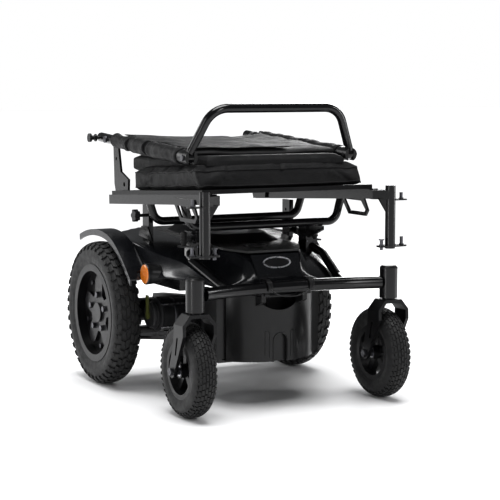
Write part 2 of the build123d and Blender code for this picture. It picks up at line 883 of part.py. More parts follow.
def make_battery_cover():
    """Bulged shell round the batteries, with a grip recess, a finger groove and two hooks."""
    front = ahead(battery_front + 72)
    tube_back = front_tube_y(cover_hook_x) + front_tube_r
    hook_top = front_tube_z + front_tube_r
    hook_t = 4.0
    groove_top = cover_low + 68
    groove_half = 17.0
    clip_t = 4.0
    with BuildPart() as battery_cover:
        with BuildSketch(at_z(cover_low)):
            add(cover_outline(0))
            make_face()
        extrude(amount=cover_high - cover_low)
        with BuildSketch(at_z(cover_low + cover_wall)):
            add(cover_outline(cover_wall))
            make_face()
        extrude(amount=cover_high, mode=Mode.SUBTRACT)
        # the floor stays only under the bulge, ahead of the tray
        with BuildSketch(at_z(cover_low - 1)):
            with Locations((0, ahead(battery_front + 8 - 250))):
                Rectangle(2 * (cover_half - cover_wall), 500)
        extrude(amount=cover_wall + 2, mode=Mode.SUBTRACT)
        # half-moon grip opening in the front wall
        with BuildSketch(at_y(front - 1)):
            with BuildLine():
                ThreePointArc((-62, cover_high - 4), (0, cover_high - 36), (62, cover_high - 4))
                Line((-62, cover_high - 4), (62, cover_high - 4))
            make_face()
        extrude(amount=-30, mode=Mode.SUBTRACT)
        # finger groove at the foot of the bulge, with its own wall behind
        for start, depth, grow, mode in ((4, 10, 4, Mode.ADD), (-1, 11, 0, Mode.SUBTRACT)):
            half = groove_half + grow
            top = groove_top + grow
            with BuildSketch(at_y(front + start)):
                with BuildLine():
                    Polyline((-half, cover_low), (half, cover_low), (half, top - half))
                    ThreePointArc((half, top - half), (0, top), (-half, top - half))
                    Line((-half, top - half), (-half, cover_low))
                make_face()
            extrude(amount=-depth, mode=mode)
        # hooks up and forward over the front tube
        for side in (-1, 1):
            with BuildSketch(at_x(side * cover_hook_x)):
                with BuildLine():
                    Polyline(
                        (front + 22, cover_high - 24),
                        (front + 22, cover_high),
                        (tube_back + 1 + hook_t, cover_high),
                        (tube_back + 1 + hook_t, hook_top + 1 + hook_t),
                        (tube_back - 20, hook_top + 1 + hook_t),
                        (tube_back - 20, hook_top + 1),
                        (tube_back + 1, hook_top + 1),
                        (tube_back + 1, cover_high - 12),
                        (front + 12, cover_high - 24),
                        close=True,
                    )
                make_face()
            extrude(amount=6, both=True)
            # clip round the tube, open at the front below
            with BuildSketch(at_x(side * cover_hook_x)):
                with Locations((front_tube_y(cover_hook_x), front_tube_z)):
                    Circle(front_tube_r + 1 + clip_t)
                    Circle(front_tube_r + 1, mode=Mode.SUBTRACT)
                with Locations((front_tube_y(cover_hook_x) - 12, front_tube_z - 14)):
                    Rectangle(20, 14, mode=Mode.SUBTRACT)
            extrude(amount=6, both=True)
    return battery_cover.part


def make_fender():
    """Arched shell over the inner two thirds of the tyre, with a downturned outer edge."""
    # angle round the drive axle from straight ahead, and gap to the tyre's crown
    course = ((27.9, 46.8), (46.1, 32.4), (66.7, 30.6), (90, 30), (108.5, 36.4), (124.9, 50.1))
    arch = [
        ((drive_r + gap) * cos(radians(angle)), drive_r + (drive_r + gap) * sin(radians(angle)))
        for angle, gap in course
    ]
    front, rear = arch[0], arch[-1]
    with BuildPart() as fender:
        for start, width, deep in ((fender_in, fender_out - fender_in, 3.5), (fender_out - 4, 4, 16)):
            with BuildSketch(at_x(start)):
                with BuildLine():
                    Spline(*[(ahead(d), z) for d, z in arch])
                    Line((ahead(rear[0]), rear[1]), (ahead(rear[0]), rear[1] - deep))
                    Spline(*[(ahead(d), z - deep) for d, z in arch])
                    Line((ahead(front[0]), front[1]), (ahead(front[0]), front[1] - deep))
                make_face()
            extrude(amount=width)
        # cut away round the side light
        with BuildSketch(at_x(fender_in - 1)):
            with Locations((ahead(light_ahead), light_z)):
                Circle(light_r + 2 + free)
        extrude(amount=light_x + 12 - fender_in, mode=Mode.SUBTRACT)
    return fender.part


def make_light_housing():
    """Conical black housing that leaves the shroud ahead of the fender."""
    with BuildPart() as light_housing:
        with BuildSketch(at_x(light_x - 9)):
            with Locations((ahead(light_ahead), light_z)):
                Circle(light_r + 2)
        with BuildSketch(at_x(light_x - 34)):
            with Locations((ahead(light_ahead + 8), light_z)):
                Circle(light_r - 2)
        loft()
        with BuildSketch(at_x(light_x - 9)):
            with Locations((ahead(light_ahead), light_z)):
                Circle(light_r + 2)
        extrude(amount=6)
    return light_housing.part


def make_light_lens():
    with BuildPart() as light_lens:
        with BuildSketch(at_x(light_x - 3)):
            with Locations((ahead(light_ahead), light_z)):
                Circle(light_r)
        extrude(amount=8)
        fillet(light_lens.edges().sort_by(Axis.X)[-1], 4)
    return light_lens.part


# ---- seat ------------------------------------------------------------------------------------
cross_tube_r = 10.0
cross_tube_z = 430.0
front_cross_ahead = 368.0
rear_cross_ahead = 168.0
rail_front = 26.0           # the rails stand out this far ahead of the pan
rail_rear = 22.0
stop_x = 184.0
stop_ahead = 305.0
stop_low = 384.0
knob_z = 442.0
knob_reach = 34.0


def make_seat_rail():
    """Square tube under the pan's edge."""
    with BuildPart() as seat_rail:
        with BuildSketch(seat_section(pan_length + rail_rear)):
            with Locations((rail_mid, -pan_edge - rail_size / 2)):
                Rectangle(rail_size, rail_size)
                Rectangle(rail_size - 2 * rail_wall, rail_size - 2 * rail_wall, mode=Mode.SUBTRACT)
        extrude(amount=rail_front + pan_length + rail_rear)
    return seat_rail.part


def make_seat_pan():
    """Pressed sheet with a turned-down edge."""
    sheet = 2.5
    notch_length = 60.0
    with BuildPart() as seat_pan:
        with BuildSketch(seat_plane):
            with Locations((0, pan_length / 2)):
                Rectangle(pan_width, pan_length)
        extrude(amount=-pan_edge)
        with BuildSketch(seat_plane.offset(-sheet)):
            with Locations((0, pan_length / 2)):
                Rectangle(pan_width - 2 * sheet, pan_length - 2 * sheet)
        extrude(amount=-pan_edge, mode=Mode.SUBTRACT)
        # notches for the hinge plates
        with BuildSketch(seat_plane):
            for side in (-1, 1):
                with Locations((side * (rail_inner - hinge_plate_t / 2), pan_length - notch_length / 2)):
                    Rectangle(hinge_plate_t + 2, notch_length)
        extrude(amount=-pan_edge, mode=Mode.SUBTRACT)
    return seat_pan.part


def make_seat_cushion():
    """Foam cushion with a slanted front face."""
    rear = cushion_start + cushion_length
    side_plane = Plane(
        origin=seat_plane.from_local_coords(Vector(0, 0, slip)),
        x_dir=seat_plane.y_dir,
        z_dir=(1, 0, 0),
    )
    with BuildPart() as seat_cushion:
        with BuildSketch(side_plane):
            with BuildLine():
                Polyline(
                    (cushion_start, 0),
                    (cushion_start + cushion_slant, cushion_thick),
                    (rear - 4, cushion_thick),
                    (rear, 0),
                    close=True,
                )
            make_face()
        extrude(amount=cushion_width / 2, both=True)
    return seat_cushion.part


def make_cross_tube(station):
    """Bent tube that hangs under the two seat rails at this station."""
    top = rail_bottom(station) + 6
    with BuildPart() as cross_tube:
        with BuildLine() as path:
            FilletPolyline(
                (-rail_mid, ahead(station), top),
                (-rail_mid + 16, ahead(station), cross_tube_z),
                (rail_mid - 16, ahead(station), cross_tube_z),
                (rail_mid, ahead(station), top),
                radius=30,
            )
        with BuildSketch(Plane(origin=path.line @ 0, z_dir=path.line % 0)):
            Circle(cross_tube_r)
        sweep()
        split(bisect_by=seat_plane.offset(-pan_edge - rail_size), keep=Keep.BOTTOM)
    return cross_tube.part


def make_cross_tubes():
    """Front and rear bent tubes, as separate solids."""
    stations = (front_cross_ahead, rear_cross_ahead)
    return Compound(children=[make_cross_tube(station).solid() for station in stations])


def make_seat_columns():
    """Rear columns from the chassis to the rails, each with a flared foot above the deck."""
    top = rail_bottom(column_ahead - column_d / 2) - 1
    with BuildPart() as column:
        with BuildSketch(at_z(upper_rail_top)):
            with Locations((column_x - 4, ahead(column_ahead))):
                Rectangle(column_w - 8, column_d)
        extrude(amount=top - upper_rail_top)
        with BuildSketch(at_x(column_x + 2)):
            with BuildLine():
                Polyline(
                    (ahead(column_ahead - 36), column_foot_z + 14),
                    (ahead(column_ahead + 50), column_foot_z + 6),
                    (ahead(column_ahead + column_d / 2), column_foot_z + 40),
                    (ahead(column_ahead - column_d / 2), column_foot_z + 40),
                    close=True,
                )
            make_face()
        extrude(amount=4)
        # bore for the clamp knob's stem
        with BuildSketch(at_x(column_x - column_w)):
            with Locations((ahead(column_ahead), knob_z)):
                Circle(4 + running)
        extrude(amount=2 * column_w, mode=Mode.SUBTRACT)
    return both_sides(column.part)


def make_front_uprights():
    """Bolted uprights in front, each with an arm that carries the front cross tube."""
    arm_top = cross_tube_z - cross_tube_r - 0.2
    with BuildPart() as upright:
        with BuildSketch(at_z(upper_rail_top)):
            with Locations((upright_x, ahead(upright_ahead))):
                Rectangle(upright_w, upright_d)
            with Locations(((upright_x + upper_rail_x) / 2, ahead(upright_ahead))):
                Rectangle(upper_rail_x - upright_x + 10, 16)
        extrude(amount=8)
        with BuildSketch(at_z(upper_rail_top)):
            with Locations((upright_x, ahead(upright_ahead))):
                Rectangle(upright_w, upright_d)
        extrude(amount=upright_high - upper_rail_top)
        with BuildSketch(at_x(upright_x - 3)):
            with BuildLine():
                Polyline(
                    (ahead(upright_ahead + upright_d / 2 - 2), upright_high - 30),
                    (ahead(upright_ahead + upright_d / 2 - 2), upright_high),
                    (ahead(front_cross_ahead - 8), arm_top),
                    (ahead(front_cross_ahead + 10), arm_top),
                    (ahead(front_cross_ahead + 10), arm_top - 10),
                    close=True,
                )
            make_face()
        extrude(amount=6)
        # shelf for the rubber stop
        with BuildSketch(at_z(stop_low - 8)):
            with Locations(((upright_x + stop_x) / 2 + 4, ahead(upright_ahead + 8))):
                Rectangle(stop_x - upright_x + 16, 24)
        extrude(amount=4)
    return both_sides(upright.part)


def make_upright_bolts():
    """Hexagon heads on the uprights, facing forward."""
    face = ahead(upright_ahead + upright_d / 2)
    with BuildPart() as upright_bolts:
        for side in (-1, 1):
            with BuildSketch(at_y(face)):
                with Locations(
                    (side * (upright_x + 5.8), upright_high - 8),
                    (side * (upright_x - 5.8), upright_high - 38),
                    (side * (upright_x + 5.8), upright_high - 22),
                ):
                    RegularPolygon(2.4, 6)
            extrude(amount=3)
    return upright_bolts.part


def make_rubber_stops():
    """Ribbed rubber stops that stand on shelves beside the uprights."""
    with BuildPart() as stop:
        for ring in range(4):
            with BuildSketch(at_z(stop_low + 2 + ring * 7)):
                with Locations((stop_x, ahead(stop_ahead - 9))):
                    Circle(8.5)
            extrude(amount=4.5)
        with BuildSketch(at_z(stop_low - 4)):
            with Locations((stop_x, ahead(stop_ahead - 9))):
                Circle(6)
        extrude(amount=34)
    return both_sides(stop.part)


def make_star_knob():
    """Lobed knob on a threaded stem through the right column."""
    face = column_x + 2 + knob_reach
    with BuildPart() as star_knob:
        with BuildSketch(at_x(-face)):
            with Locations((ahead(column_ahead), knob_z)):
                Circle(12)
                with PolarLocations(11, 5):
                    Circle(5)
        extrude(amount=13)
        with BuildSketch(at_x(-face)):
            with Locations((ahead(column_ahead), knob_z)):
                Circle(4)
        extrude(amount=knob_reach + column_w - 6)
    return star_knob.part


def make_hanger():
    """Footrest hanger post with its arm, gusset and two drilled plates."""
    arm_low = rail_bottom(pan_front + rail_front)
    arm_h = rail_size - 2
    hanger_y = ahead(hanger_ahead)
    root_y = ahead(pan_front + rail_front) + 4
    with BuildPart() as hanger:
        with BuildSketch(at_z(hanger_low)):
            with Locations((hanger_x, hanger_y)):
                Circle(hanger_r)
        extrude(amount=hanger_high - hanger_low)
        with BuildSketch(at_z(arm_low)):
            with BuildLine():
                Polyline(
                    (rail_inner, root_y),
                    (rail_outer, root_y),
                    (hanger_x + 6, hanger_y + 8),
                    (hanger_x + 6, hanger_y - 8),
                    (hanger_x - 10, hanger_y - 8),
                    (rail_inner, root_y - 20),
                    close=True,
                )
            make_face()
        extrude(amount=arm_h)
        split(bisect_by=seat_section(-rail_front), keep=Keep.TOP)
        with BuildSketch(at_y(hanger_y)):
            with BuildLine():
                Polyline(
                    (hanger_x - hanger_r + 2, arm_low + 2),
                    (hanger_x - hanger_r - 22, arm_low + 2),
                    (hanger_x - hanger_r + 2, arm_low - 34),
                    close=True,
                )
            make_face()
        extrude(amount=2.5, both=True)
        for plate_z, plate_in, plate_t, holes in (
            (hanger_low + 4, hanger_plate_in, 4, (hanger_plate_in + 10, hanger_plate_out - 11)),
            (hanger_upper_z, hanger_x, 3, (hanger_plate_out - 13,)),
        ):
            with BuildSketch(at_z(plate_z)):
                with Locations(((plate_in + hanger_plate_out) / 2, hanger_y)):
                    RectangleRounded(hanger_plate_out - plate_in, 25, 8)
                for x in holes:
                    with Locations((x, hanger_y)):
                        Circle(stud_r, mode=Mode.SUBTRACT)
            extrude(amount=plate_t)
    return hanger.part


def make_hanger_studs():
    """Studs in the hanger plates: two below, one with a head, and one above."""
    hanger_y = ahead(hanger_ahead)
    with BuildPart() as stud:
        for x, low, high, nut_z in (
            (hanger_plate_in + 10, hanger_low - 3, hanger_low + 24, hanger_low + 8),
            (hanger_plate_out - 11, hanger_low + 4, hanger_low + 28, hanger_low + 8),
            (hanger_plate_out - 13, hanger_upper_z, hanger_upper_z + 19, hanger_upper_z + 3),
        ):
            with BuildSketch(at_z(low)):
                with Locations((x, hanger_y)):
                    Circle(stud_r)
            extrude(amount=high - low)
            with BuildSketch(at_z(nut_z)):
                with Locations((x, hanger_y)):
                    RegularPolygon(stud_r + 2.5, 6)
            extrude(amount=3)
        with BuildSketch(at_z(hanger_low + 21)):
            with Locations((hanger_plate_in + 10, hanger_y)):
                Circle(stud_r + 2.5)
        extrude(amount=3)
    return both_sides(stud.part)


def make_tie_down_loops():
    """D-shaped loops of flat bar bolted to the rails' outer faces."""
    top = rail_bottom(420)
    with BuildPart() as tie_down_loop:
        with BuildSketch(at_x(rail_outer)):
            with BuildLine():
                Polyline(
                    (ahead(355), top + 14),
                    (ahead(350), top - 2),
                    (ahead(385), top - 40),
                    (ahead(465), top - 40),
                    (ahead(476), top - 26),
                    (ahead(450), top + 14),
                    close=True,
                )
            make_face()
            with BuildLine():
                Polyline(
                    (ahead(366), top - 4),
                    (ahead(390), top - 31),
                    (ahead(460), top - 31),
                    (ahead(465), top - 25),
                    (ahead(444), top - 4),
                    close=True,
                )
            make_face(mode=Mode.SUBTRACT)
        extrude(amount=5)
    return both_sides(tie_down_loop.part)


# ---- back ------------------------------------------------------------------------------------
pivot_y = ahead(-pivot_behind)
latch_point = fold_plane.from_local_coords(Vector(0, latch_arm, 0))
clamp_point = fold_plane.from_local_coords(Vector(0, -clamp_pivot, 0))
eye_r = 13.0
eye_half = 7.0
clamp_wall = 4.0
sleeve_r = 17.5
sling_t = 12.0
sling_front = 444.0
sling_rear = 44.0
sleeve_gaps = (150.0, 258.0)
sleeve_gap = 16.0
pad_half = 197.0
pad_front = 440.0
pad_rear = -8.0
pad_rear_t = 34.0
pad_front_t = 21.0


def make_hinge_plate():
    """Plate on the rail's inner face, with the pivot above and the latch hole below it."""
    rail_low = rail_bottom(-50)
    latch_angle = radians(fold_tilt - back_upright)
    with BuildPart() as hinge_plate:
        with BuildSketch(at_x(rail_inner)):
            with BuildLine():
                Polyline(
                    (pivot_y - 14, pivot_z),
                    (pivot_y + 14, pivot_z),
                    (pivot_y + 8, rail_low + 50),
                    (pivot_y - 12, rail_low),
                    (pivot_y - 80, rail_low + 6),
                    (pivot_y - 84, rail_low + 66),
                    (pivot_y - 34, rail_low + 84),
                    close=True,
                )
            make_face()
            with Locations((pivot_y, pivot_z)):
                Circle(14)
                Circle(pivot_pin_r, mode=Mode.SUBTRACT)
            with Locations((pivot_y + latch_arm * cos(latch_angle), pivot_z + latch_arm * sin(latch_angle))):
                Circle(latch_pin_r + 0.4, mode=Mode.SUBTRACT)
            with Locations((pivot_y - 58, rail_low + 52)):
                Circle(6, mode=Mode.SUBTRACT)
        extrude(amount=-hinge_plate_t)
    return hinge_plate.part


def make_pivot_bolts():
    """Shoulder bolts through the plates and the posts."""
    head_x = post_x + post_r + slip
    with BuildPart() as pivot_bolt:
        with BuildSketch(at_x(rail_inner - hinge_plate_t)):
            with Locations((pivot_y, pivot_z)):
                Circle(pivot_pin_r)
        extrude(amount=head_x - rail_inner + hinge_plate_t)
        with BuildSketch(at_x(head_x)):
            with Locations((pivot_y, pivot_z)):
                Circle(9)
        extrude(amount=5)
        with BuildSketch(at_x(rail_inner - hinge_plate_t)):
            with Locations((pivot_y, pivot_z)):
                RegularPolygon(9, 6)
        extrude(amount=-6)
    return both_sides(pivot_bolt.part)


def make_back_post():
    """Back tube, bored across for the pivot bolt and the latch pin."""
    with BuildPart() as back_post:
        with BuildSketch(fold_section(post_rear)):
            with Locations((post_x, 0)):
                Circle(post_r)
        extrude(amount=post_front + post_rear)
        with BuildSketch(at_x(rail_inner - 1)):
            with Locations((pivot_y, pivot_z)):
                Circle(pivot_pin_r + running)
            with Locations((latch_point.Y, latch_point.Z)):
                Circle(latch_pin_r + running)
        extrude(amount=4 * post_r, mode=Mode.SUBTRACT)
    return back_post.part


def make_latch_knob():
    """Spool-shaped pull knob on its latch pin."""
    outer = post_x + post_r
    tip = rail_inner + 0.8
    with BuildPart() as latch_knob:
        for start, length, radius in (
            (tip, outer + 29 - tip, latch_pin_r),
            (outer + 8, 3, 10),
            (outer + 11, 12, 6),
            (outer + 23, 6, 11.5),
        ):
            with BuildSketch(at_x(start)):
                with Locations((latch_point.Y, latch_point.Z)):
                    Circle(radius)
            extrude(amount=length)
    return latch_knob.part


def make_back_sling():
    """Sling stretched between the posts, with three sleeves round each post."""
    with BuildPart() as back_sling:
        with BuildSketch(fold_section(-sling_rear)):
            with Locations((post_x, 0), (-post_x, 0)):
                Circle(sleeve_r)
            with Locations((0, sleeve_r - sling_t / 2)):
                Rectangle(2 * post_x, sling_t)
            with Locations((post_x, 0), (-post_x, 0)):
                Circle(post_r + slip, mode=Mode.SUBTRACT)
        extrude(amount=sling_front - sling_rear)
        for gap in sleeve_gaps:
            with BuildSketch(fold_section(-gap)):
                with Locations((post_x, 0), (-post_x, 0)):
                    Rectangle(2 * sleeve_r + 2, 2 * sleeve_r + 2)
            extrude(amount=sleeve_gap / 2, both=True, mode=Mode.SUBTRACT)
    return back_sling.part


def make_back_straps():
    """Strap loops round the posts in the gaps between the sleeves."""
    with BuildPart() as strap:
        for gap in sleeve_gaps:
            with BuildSketch(fold_section(-gap)):
                with Locations((post_x, 0)):
                    Circle(post_r + 3)
                    Circle(post_r + 0.2, mode=Mode.SUBTRACT)
            extrude(amount=sleeve_gap / 2 - 3, both=True)
    return both_sides(strap.part)


def make_back_pad():
    """Pad between the folded sling and the cushion, thinner towards the front."""

    def under(distance):
        return pan_height(distance) + cushion_thick + 1.8

    with BuildPart() as back_pad:
        with BuildSketch(at_x(0)):
            with BuildLine():
                Polyline(
                    (ahead(pad_rear), under(pad_rear)),
                    (ahead(pad_rear), under(pad_rear) + pad_rear_t),
                    (ahead(pad_front), under(pad_front) + pad_front_t),
                    (ahead(pad_front), under(pad_front)),
                    close=True,
                )
            make_face()
        extrude(amount=pad_half, both=True)
    return back_pad.part


def make_post_clamp():
    """Socket on the post's front end with two cheeks for the push bar's eye."""
    with BuildPart() as post_clamp:
        with BuildSketch(fold_section(-post_front + 22)):
            with Locations((post_x, 0)):
                Circle(post_r + clamp_wall)
        extrude(amount=clamp_pivot + eye_r - post_front + 22)
        with BuildSketch(fold_section(-post_front + 22)):
            with Locations((post_x, 0)):
                Circle(post_r)
        extrude(amount=22, mode=Mode.SUBTRACT)
        with BuildSketch(at_x(post_x)):
            with Locations((clamp_point.Y, clamp_point.Z)):
                Rectangle(2 * (eye_r + 1), 60)
        extrude(amount=eye_half + slip, both=True, mode=Mode.SUBTRACT)
        with BuildSketch(at_x(post_x)):
            with Locations((clamp_point.Y, clamp_point.Z)):
                Circle(pivot_pin_r)
        extrude(amount=post_r + clamp_wall, both=True, mode=Mode.SUBTRACT)
    return post_clamp.part


def make_clamp_bolts():
    """Cross bolts through the clamps' cheeks, with a hexagon head outside."""
    reach = post_r + clamp_wall
    with BuildPart() as clamp_bolt:
        with BuildSketch(at_x(post_x)):
            with Locations((clamp_point.Y, clamp_point.Z)):
                Circle(pivot_pin_r)
        extrude(amount=reach, both=True)
        with BuildSketch(at_x(post_x + reach)):
            with Locations((clamp_point.Y, clamp_point.Z)):
                RegularPolygon(8, 6)
        extrude(amount=4)
    return both_sides(clamp_bolt.part)


def make_push_bar():
    """U-shaped bar that stands up from the clamps, with a flattened eye at each end."""
    lean = radians(push_bar_lean)

    def bar_point(x, along):
        return Vector(x, clamp_point.Y - along * sin(lean), clamp_point.Z + along * cos(lean))

    with BuildPart() as push_bar:
        with BuildLine() as path:
            FilletPolyline(
                bar_point(-post_x, eye_r - 2),
                bar_point(-push_bar_top_x, push_bar_rise),
                bar_point(push_bar_top_x, push_bar_rise),
                bar_point(post_x, eye_r - 2),
                radius=push_bar_corner,
            )
        with BuildSketch(Plane(origin=path.line @ 0, z_dir=path.line % 0)):
            Circle(push_bar_r)
        sweep()
        for side in (-1, 1):
            # flats beside the eye, so that it fits between the cheeks
            for face in (-1, 1):
                with BuildSketch(at_x(side * post_x + face * (eye_half + 10))):
                    with Locations((clamp_point.Y, clamp_point.Z)):
                        Circle(post_r + clamp_wall + 4.5)
                extrude(amount=10, both=True, mode=Mode.SUBTRACT)
            with BuildSketch(at_x(side * post_x)):
                with Locations((clamp_point.Y, clamp_point.Z)):
                    Circle(eye_r - 0.5)
            extrude(amount=eye_half, both=True)
            with BuildSketch(at_x(side * post_x)):
                with Locations((clamp_point.Y, clamp_point.Z)):
                    Circle(pivot_pin_r + running)
            extrude(amount=eye_half, both=True, mode=Mode.SUBTRACT)
    return push_bar.part


# ---- write every piece -----------------------------------------------------------------------
save_pair(make_drive_tyre(), "drive_tyre")
save_pair(make_drive_rim(), "drive_rim")
save_pair(make_drive_hub(), "drive_hub")
save_pair(make_lug_nuts(), "lug_nuts")
save_pair(make_caster_tyre(), "caster_tyre")
save_pair(make_caster_rim(), "caster_rim")
save_pair(make_caster_bearings(), "caster_bearings")
save_pair(make_caster_fork(), "caster_fork")
save_pair(make_caster_axle(), "caster_axle")
save(both_sides(make_caster_housing()), "caster_housings")
save(both_sides(make_stem_cap()), "stem_caps")
save(both_sides(make_stem_bearings()), "stem_bearings")

save(make_front_tube(), "front_tube")
save(make_chassis_frame(), "chassis_frame")
save(both_sides(make_gearmotor()), "gearmotors")
save_pair(make_freewheel_lever(), "freewheel_lever")
save(make_batteries(), "batteries")
save(make_controller(), "controller")

save(make_base_shroud(), "base_shroud")
save(make_shroud_lid(), "shroud_lid")
save(make_nose_panel(), "nose_panel")
save(make_badge(), "badge")
save(make_battery_cover(), "battery_cover")
save(both_sides(make_fender()), "fenders")
save(both_sides(make_light_housing()), "light_housings")
save(both_sides(make_light_lens()), "light_lenses")

save(both_sides(make_seat_rail()), "seat_rails")
save(make_seat_pan(), "seat_pan")
save(make_seat_cushion(), "seat_cushion")
save(make_cross_tubes(), "seat_cross_tubes")
save(make_seat_columns(), "seat_columns")
save(make_front_uprights(), "front_uprights")
save(make_upright_bolts(), "upright_bolts")
save(make_rubber_stops(), "rubber_stops")
save(make_star_knob(), "star_knob")
save(both_sides(make_hanger()), "hangers")
save(make_hanger_studs(), "hanger_studs")
save(make_tie_down_loops(), "tie_down_loops")

save(both_sides(make_hinge_plate()), "hinge_plates")
save(make_pivot_bolts(), "pivot_bolts")
save(both_sides(make_back_post()), "back_posts")
save_pair(make_latch_knob(), "latch_knob")
save(make_back_sling(), "back_sling")
save(make_back_straps(), "back_straps")
save(make_back_pad(), "back_pad")
save(both_sides(make_post_clamp()), "post_clamps")
save(make_clamp_bolts(), "clamp_bolts")
save(make_push_bar(), "push_bar")
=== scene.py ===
import bpy, bmesh, json, math
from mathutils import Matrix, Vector, noise
from mathutils.bvhtree import BVHTree


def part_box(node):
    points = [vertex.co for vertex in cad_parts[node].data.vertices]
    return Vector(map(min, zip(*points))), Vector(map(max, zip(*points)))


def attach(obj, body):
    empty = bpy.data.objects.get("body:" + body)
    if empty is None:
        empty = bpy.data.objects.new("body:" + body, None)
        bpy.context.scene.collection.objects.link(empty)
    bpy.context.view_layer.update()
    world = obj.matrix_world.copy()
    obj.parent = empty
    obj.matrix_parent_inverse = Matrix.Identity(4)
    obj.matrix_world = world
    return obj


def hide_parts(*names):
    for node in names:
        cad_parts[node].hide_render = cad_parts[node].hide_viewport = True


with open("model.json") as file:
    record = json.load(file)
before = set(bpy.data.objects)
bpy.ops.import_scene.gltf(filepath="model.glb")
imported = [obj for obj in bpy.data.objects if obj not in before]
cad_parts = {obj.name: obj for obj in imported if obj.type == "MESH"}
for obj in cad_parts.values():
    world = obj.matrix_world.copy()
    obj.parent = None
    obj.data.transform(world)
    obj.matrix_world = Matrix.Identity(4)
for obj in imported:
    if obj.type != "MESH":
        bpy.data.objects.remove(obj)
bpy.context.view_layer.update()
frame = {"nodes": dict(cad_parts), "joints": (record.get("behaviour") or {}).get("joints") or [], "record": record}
nodes = frame["nodes"]
joints = {j["name"]: j for j in frame["joints"]}
MM = 0.001  # metres in a millimetre
sin, cos, pi = math.sin, math.cos, math.pi
X = Vector((1, 0, 0))


# ---------------------------------------------------------------- materials
WAVES_PER_METRE = 0.31416  # the wave texture's scale for one rib a metre


class Mat:
    """A Principled material with object-space noise for colour, roughness and grain."""

    def __init__(self, name, colour, rough, metal=0.0, coat=0.0, coat_rough=0.1, sheen=0.0, spec=0.36):
        self.m = bpy.data.materials.new(name)
        self.m.use_nodes = True
        self.t = self.m.node_tree
        self.b = self.t.nodes["Principled BSDF"]
        self.b.inputs["Metallic"].default_value = metal
        self.b.inputs["Coat Weight"].default_value = coat
        self.b.inputs["Coat Roughness"].default_value = coat_rough
        self.b.inputs["Sheen Weight"].default_value = sheen
        self.b.inputs["Sheen Roughness"].default_value = 0.4
        self.b.inputs["Specular IOR Level"].default_value = spec
        self.b.inputs["Base Color"].default_value = (*colour, 1)
        self.b.inputs["Roughness"].default_value = rough
        self.m.diffuse_color = (*colour, 1)
        self.colour, self.rough = colour, rough
        self.co = self.t.nodes.new("ShaderNodeTexCoord").outputs["Object"]
        self.height = None

    def node(self, kind, **values):
        n = self.t.nodes.new(kind)
        for key, value in values.items():
            if key in n.inputs:
                n.inputs[key].default_value = value
            else:
                setattr(n, key, value)
        return n

    def link(self, a, b):
        self.t.links.new(a, b)

    def noise(self, scale, detail=3.0, rough=0.6):
        n = self.node("ShaderNodeTexNoise", Scale=scale, Detail=detail, Roughness=rough)
        self.link(self.co, n.inputs["Vector"])
        return n.outputs["Fac"]

    def ranged(self, value, low, high, a=0.0, b=1.0):
        n = self.node("ShaderNodeMapRange")
        n.inputs["From Min"].default_value, n.inputs["From Max"].default_value = low, high
        n.inputs["To Min"].default_value, n.inputs["To Max"].default_value = a, b
        self.link(value, n.inputs["Value"])
        return n.outputs["Result"]

    def math(self, op, a, b):
        n = self.node("ShaderNodeMath", operation=op)
        for i, v in enumerate((a, b)):
            if isinstance(v, (int, float)):
                n.inputs[i].default_value = v
            else:
                self.link(v, n.inputs[i])
        return n.outputs[0]

    def tint(self, value, other):
        """Mixes the colour towards another one where value is high."""
        n = self.node("ShaderNodeMix", data_type="RGBA")
        factor, first, second, mixed = n.inputs[0], n.inputs[6], n.inputs[7], n.outputs[2]
        base = self.b.inputs["Base Color"]
        if base.links:
            self.link(base.links[0].from_socket, first)
        else:
            first.default_value = (*self.colour, 1)
        second.default_value = (*other, 1)
        self.link(value, factor)
        self.link(mixed, base)

    def mottle(self, scale, amount):
        """Roughness varies by this much from place to place."""
        low, high = max(self.rough - amount, 0.03), min(self.rough + amount, 1)
        self.link(self.ranged(self.noise(scale), 0.3, 0.7, low, high), self.b.inputs["Roughness"])

    def bump(self, value, strength, distance):
        n = self.node("ShaderNodeBump", Strength=strength, Distance=distance)
        self.link(value, n.inputs["Height"])
        if self.height:
            self.link(self.height, n.inputs["Normal"])
        self.height = n.outputs["Normal"]
        self.link(self.height, self.b.inputs["Normal"])

    def waves(self, direction, period):
        """Ribs along one axis, this many metres apart."""
        n = self.node("ShaderNodeTexWave", wave_type="BANDS", bands_direction=direction)
        n.inputs["Scale"].default_value = WAVES_PER_METRE / period
        n.inputs["Distortion"].default_value = 0.4
        n.inputs["Detail"].default_value = 1.0
        self.link(self.co, n.inputs["Vector"])
        return n.outputs["Fac"]


def coated(name, colour, rough, coat, grain=1400, strength=0.08):
    """Powder-coated or painted metal."""
    m = Mat(name, colour, rough, coat=coat, coat_rough=0.14, spec=0.22)
    m.tint(m.ranged(m.noise(9), 0.4, 0.75, 0, 0.5), tuple(c * 1.5 + 0.002 for c in colour))
    m.mottle(18, 0.05)
    m.bump(m.noise(grain, 2), strength, 0.0002)
    return m.m


def moulded(name, colour, rough, grain=1800, strength=0.1, coat=0.0):
    """Moulded plastic with a fine grain."""
    m = Mat(name, colour, rough, coat=coat, coat_rough=0.08)
    m.tint(m.ranged(m.noise(14), 0.4, 0.75, 0, 0.5), tuple(c * 1.4 + 0.002 for c in colour))
    m.mottle(24, 0.05)
    m.bump(m.noise(grain, 2), strength, 0.0002)
    return m.m


def rubber(name, colour):
    """Dull rubber with dusty patches."""
    m = Mat(name, colour, 0.62, sheen=0.05)
    m.tint(m.ranged(m.noise(28, 5), 0.42, 0.72, 0, 0.65), (0.022, 0.022, 0.0215))
    m.mottle(80, 0.12)
    m.bump(m.noise(900, 3), 0.35, 0.0004)
    return m.m


